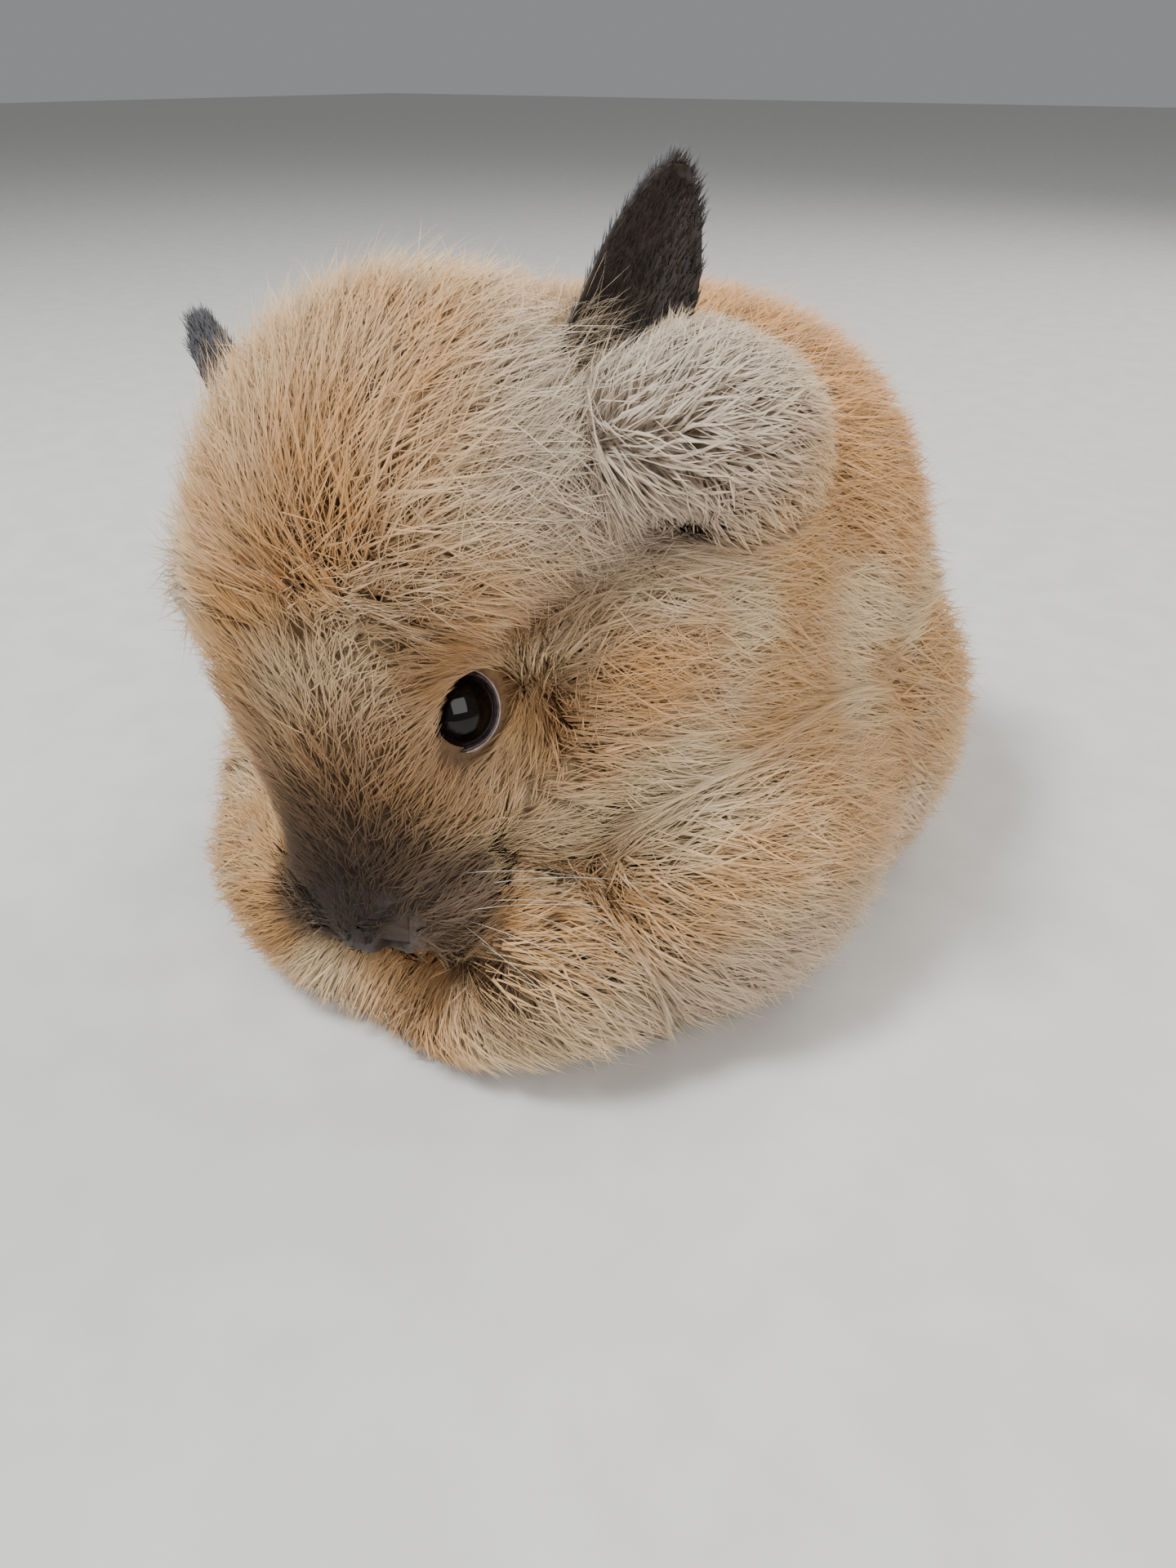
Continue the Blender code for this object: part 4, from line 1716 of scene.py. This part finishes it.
@dataclass
class Studio:
    """The floor, the lights and the camera."""

    anatomy: Anatomy
    camera_place: tuple = (0.1311, -0.2076, 0.1660)
    heading: float = math.radians(36)
    pitch: float = math.radians(33.5)
    lens: float = 25.0

    def floor(self) -> None:
        """A plain pale floor with a fine grain."""
        bm = bmesh.new()
        bmesh.ops.create_grid(bm, x_segments=8, y_segments=8, size=6.0)
        pale = MottledFinish("floor", (0.66, 0.64, 0.61), (0.70, 0.68, 0.65), scale=60.0, roughness=0.9)
        floor = mesh_object("floor", bm, pale.build())

    def camera(self) -> None:
        """The camera at the photograph's place."""
        data = bpy.data.cameras.new("camera")
        data.lens = self.lens
        data.sensor_width = 36.0
        data.clip_start = 0.01
        camera = bpy.data.objects.new("camera", data)
        bpy.context.scene.collection.objects.link(camera)
        shift = Vector((self.anatomy.shift[0], self.anatomy.shift[1], 0))
        camera.location = Vector(self.camera_place) + shift
        flat = math.cos(self.pitch)
        view = Vector((-math.sin(self.heading) * flat, math.cos(self.heading) * flat, -math.sin(self.pitch)))
        camera.rotation_euler = view.to_track_quat("-Z", "Y").to_euler()
        bpy.context.scene.camera = camera

    def light(self, name: str, place: tuple, size: float, power: float, color: tuple) -> None:
        """A soft square light that looks at the animal.

        Args:
            name: The light's name.
            place: Where it hangs.
            size: Its side.
            power: Its power.
            color: Its colour.
        """
        data = bpy.data.lights.new(name, "AREA")
        data.size = size
        data.energy = power
        data.color = color
        light = bpy.data.objects.new(name, data)
        light.location = place
        light.rotation_euler = (Vector((0, -0.02, 0.06)) - Vector(place)).to_track_quat("-Z", "Y").to_euler()
        bpy.context.scene.collection.objects.link(light)

    def build(self) -> None:
        """Sets up the whole studio."""
        self.floor()
        self.camera()
        self.light("window", (-0.38, -0.52, 1.20), 0.30, 20.0, (0.90, 0.95, 1.0))
        self.light("fill", (0.9, -0.5, 0.8), 0.9, 10.0, (1.0, 0.97, 0.93))
        self.light("back", (0.2, 0.9, 0.9), 0.8, 9.0, (1.0, 0.98, 0.95))
        world = bpy.data.worlds.new("studio")
        world.use_nodes = True
        world.node_tree.nodes["Background"].inputs["Color"].default_value = (0.95, 0.97, 1.0, 1.0)
        world.node_tree.nodes["Background"].inputs["Strength"].default_value = 0.28
        bpy.context.scene.world = world


@dataclass
class Rabbit:
    """The whole animal."""

    anatomy: Anatomy

    def build(self) -> None:
        """Builds and dresses every piece."""
        markings = Markings(self.anatomy)
        skin = Skin(self.anatomy).build(SkinFinish().build(markings))
        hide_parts(*FLESH)
        self.keep(skin)
        eyes = tuple(Eye(self.anatomy, side) for side in Side)
        self.dress_eyes(eyes)
        self.dress_coat(markings, skin, eyes)
        self.dress_ears(markings)
        self.keep(Muzzle(self.anatomy).build(MuzzleFinish().build(markings)))
        self.dress_beard(markings)
        self.dress_whiskers()

    def keep(self, obj: bpy.types.Object) -> None:
        """Lets a piece ride on the body.

        Args:
            obj: The piece.
        """
        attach(obj, BODY)

    def dress_eyes(self, eyes: tuple) -> None:
        """Builds the eyeballs and lids.

        Args:
            eyes: Both eyes.
        """
        wet = MottledFinish("eye", (0.0022, 0.0015, 0.0014), (0.0060, 0.0034, 0.0026), 260.0, 0.02, 0.000003, 0.0, 0.30)
        rim = MottledFinish("lid_rims", (0.020, 0.012, 0.011), (0.055, 0.032, 0.028), 900.0, 0.25, 0.0001, 0.3)
        bare = MottledFinish("lids", (0.430, 0.310, 0.285), (0.620, 0.480, 0.450), 900.0, 0.45, 0.0002, 0.1)
        wet_material, rim_material, bare_material = wet.build(), rim.build(), bare.build()
        for eye in eyes:
            ball = eye.ball(wet_material)
            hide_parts(f"eye_{eye.side.word}")
            self.keep(ball)
            self.keep(eye.lids("lid_rim", LID_RIM, rim_material))
            self.keep(eye.lids("lid", LID_SKIN, bare_material))

    def dress_coat(self, markings: Markings, skin: bpy.types.Object, eyes: tuple) -> None:
        """Grows every piece of the coat.

        Args:
            markings: The coat's colours, with painted shade in its creases.
            skin: The skin.
            eyes: Both eyes.
        """
        under = FurFinish("underfur", root_shade_share=0.75, tip_light=0.05).build(markings)
        short = FurFinish("face_fur", root_shade_share=0.30, tip_light=0.0, sheen=0.0).build(markings)
        long_fur = FurFinish("long_fur").build(markings)
        coat = Coat(self.anatomy, Lie(self.anatomy), eyes, Muzzle(self.anatomy))
        regions = Regions(self.anatomy, eyes)
        roots = regions.roots(skin)
        for growth in GROWTHS:
            material = {"coat_face": short}.get(growth.name, long_fur)
            if "under" in growth.name:
                material = under
            piece = coat.grow(growth, regions.pick(growth.name, roots), material)
            self.keep(piece)

    def dress_ears(self, markings: Markings) -> None:
        """Builds the ears' leaves and their short hair.

        Args:
            markings: The coat's colours, with painted shade in its creases.
        """
        leaf = MottledFinish("ear_leaf", (0.012, 0.008, 0.007), (0.040, 0.022, 0.015), 500.0, 0.6, 0.0003)
        leaf_material = leaf.build()
        outside = FurFinish("ear_fur", tint=(0.070, 0.076, 0.092), tint_share=0.96, tip_light=0.03, root_shade_share=0.0)
        inside = FurFinish("ear_lining", tint=(0.018, 0.011, 0.009), tint_share=0.97, tip_light=0.0, root_shade_share=0.0)
        wool = FurFinish("ear_wool", tint=(0.740, 0.600, 0.430), tint_share=0.75, tip_light=0.4, root_shade_share=0.3)
        materials = [finish.build(markings) for finish in (outside, inside, wool)]
        for side in Side:
            ear = Ear(self.anatomy, side, **EARS[side])
            made = ear.leaf(leaf_material)
            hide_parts(f"ear_{side.word}")
            self.keep(made)
            self.ear_hair(ear, materials)

    def ear_hair(self, ear: Ear, materials: list) -> None:
        """Grows the hair of one ear: its back, its cup, its edge and the wool at its foot.

        Args:
            ear: The ear.
            materials: The finishes of its back, its cup and its wool.
        """
        draw = np.random.default_rng(40 + ear.side.value)
        axis = self.anatomy.head_way(ear.axis)
        mouth = self.anatomy.head_way(ear.mouth)
        back, cup, wool = (Fringe(f"ear_{part}_{ear.side.word}", 3) for part in ("back", "cup", "wool"))
        count = 2600
        share = draw.uniform(0.05, 0.99, count)
        across = draw.uniform(-1, 1, count)
        outer, inner = ear.at(share, across, False), ear.at(share, across * 0.93, True)
        for i in range(count):
            stray = draw.normal(0, 0.14, 3)
            flat = unit(axis + stray - mouth * 0.10)
            back.hair(outer[i], flat * draw.uniform(0.0028, 0.0048), -mouth * 0.0003, 0.00016)
            flat = unit(axis + draw.normal(0, 0.16, 3) + mouth * 0.10)
            cup.hair(inner[i], flat * draw.uniform(0.0022, 0.0040), mouth * 0.0002, 0.00013)
        for _ in range(600):
            low = draw.uniform(0.26, 0.52)
            edge = draw.uniform(-1, 1)
            start = ear.at(np.array((low,)), np.array((edge,)), draw.random() < 0.7)[0]
            flat = unit(axis * 0.8 + mouth * draw.uniform(0.0, 0.7) + draw.normal(0, 0.45, 3))
            wool.hair(start, flat * draw.uniform(0.005, 0.012), draw.normal(0, 0.003, 3), 0.00008)
        for fringe, material in zip((back, cup, wool), materials):
            self.keep(fringe.build(material, self.anatomy))

    def dress_beard(self, markings: Markings) -> None:
        """Grows the longer hair of the whisker pads and of the chin.

        Args:
            markings: The coat's colours, with painted shade in its creases.
        """
        draw = np.random.default_rng(91)
        anatomy = self.anatomy
        material = FurFinish("beard", root_shade_share=0.35, tip_light=0.75).build(markings)
        middle = np.array((0.0, -0.0270, -0.0190))
        fringe = Fringe("beard", 4)
        for _ in range(2600):
            side = draw.choice((-1, 1))
            on_pad = draw.random() < 0.72
            if on_pad:
                out = unit(np.array((side * draw.uniform(0.45, 1.0), draw.uniform(-0.65, 0.25), draw.uniform(-0.55, 0.25))))
                way = np.array((side * draw.uniform(0.45, 0.9), draw.uniform(0.15, 0.6), draw.uniform(-0.75, -0.2)))
                length = draw.uniform(0.005, 0.015)
            else:
                out = unit(np.array((draw.uniform(-0.6, 0.6), draw.uniform(-0.5, 0.3), -1.0)))
                way = np.array((draw.normal(0, 0.25), draw.uniform(-0.25, 0.25), -1.0))
                length = draw.uniform(0.006, 0.016)
            reach = 0.008
            turned = anatomy.head_way(tuple(out))
            for _ in range(8):
                reach -= float(anatomy.face(anatomy.on_head(tuple(middle))[None] + turned * reach)[0]) + 0.0012
            start = anatomy.on_head(tuple(middle)) + turned * reach
            bend = np.array((0.0, 0.0, -0.25 * length)) + draw.normal(0, 0.0008, 3)
            fringe.hair(start, anatomy.head_way(tuple(way)) * length, bend, 0.00009)
        self.keep(fringe.build(material, anatomy))

    def dress_whiskers(self) -> None:
        """Grows the whiskers of both pads, and the few over the eyes."""
        draw = np.random.default_rng(77)
        anatomy = self.anatomy
        pale = MottledFinish("whiskers", (0.75, 0.70, 0.62), (0.55, 0.48, 0.40), 300.0, 0.35, 0.00001).build()
        for side in Side:
            fringe = Fringe(f"whiskers_{side.word}", 12)
            for _ in range(26):
                local = np.array((side.value * draw.uniform(0.010, 0.018), draw.uniform(-0.034, -0.024), draw.uniform(-0.026, -0.014)))
                start = anatomy.on_head(tuple(local))
                way = anatomy.head_way((side.value * draw.uniform(0.7, 1.0), draw.uniform(-0.25, 0.35), draw.uniform(-0.75, 0.1)))
                length = draw.uniform(0.018, 0.042)
                fringe.hair(start, way * length, np.array((0, 0, -length * 0.22)), 0.00009)
            for _ in range(5):
                local = (side.value * 0.0145, draw.uniform(-0.006, 0.003), 0.0125)
                way = anatomy.head_way((side.value * 0.8, draw.uniform(-0.3, 0.2), 0.7))
                fringe.hair(anatomy.on_head(local), way * draw.uniform(0.012, 0.022), np.array((0, 0, 0.001)), 0.00007)
            self.keep(fringe.build(pale, anatomy))


def find_shift() -> np.ndarray:
    """The frame's shift from the forms' axes, from where the left eye is.

    Returns:
        The shift.
    """
    low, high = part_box("eye_left")
    middle = (low + high) / 2
    return np.array(middle - head_turn() @ Vector((0.0135, 0.0, 0.0)))


def main() -> None:
    """Dresses the frame."""
    logging.basicConfig(level=logging.INFO, format="%(name)s %(message)s")
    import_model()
    anatomy = Anatomy(find_shift())
    log.info("shift %s", anatomy.shift)
    Studio(anatomy).build()
    Rabbit(anatomy).build()


if __name__ == "__main__":
    main()
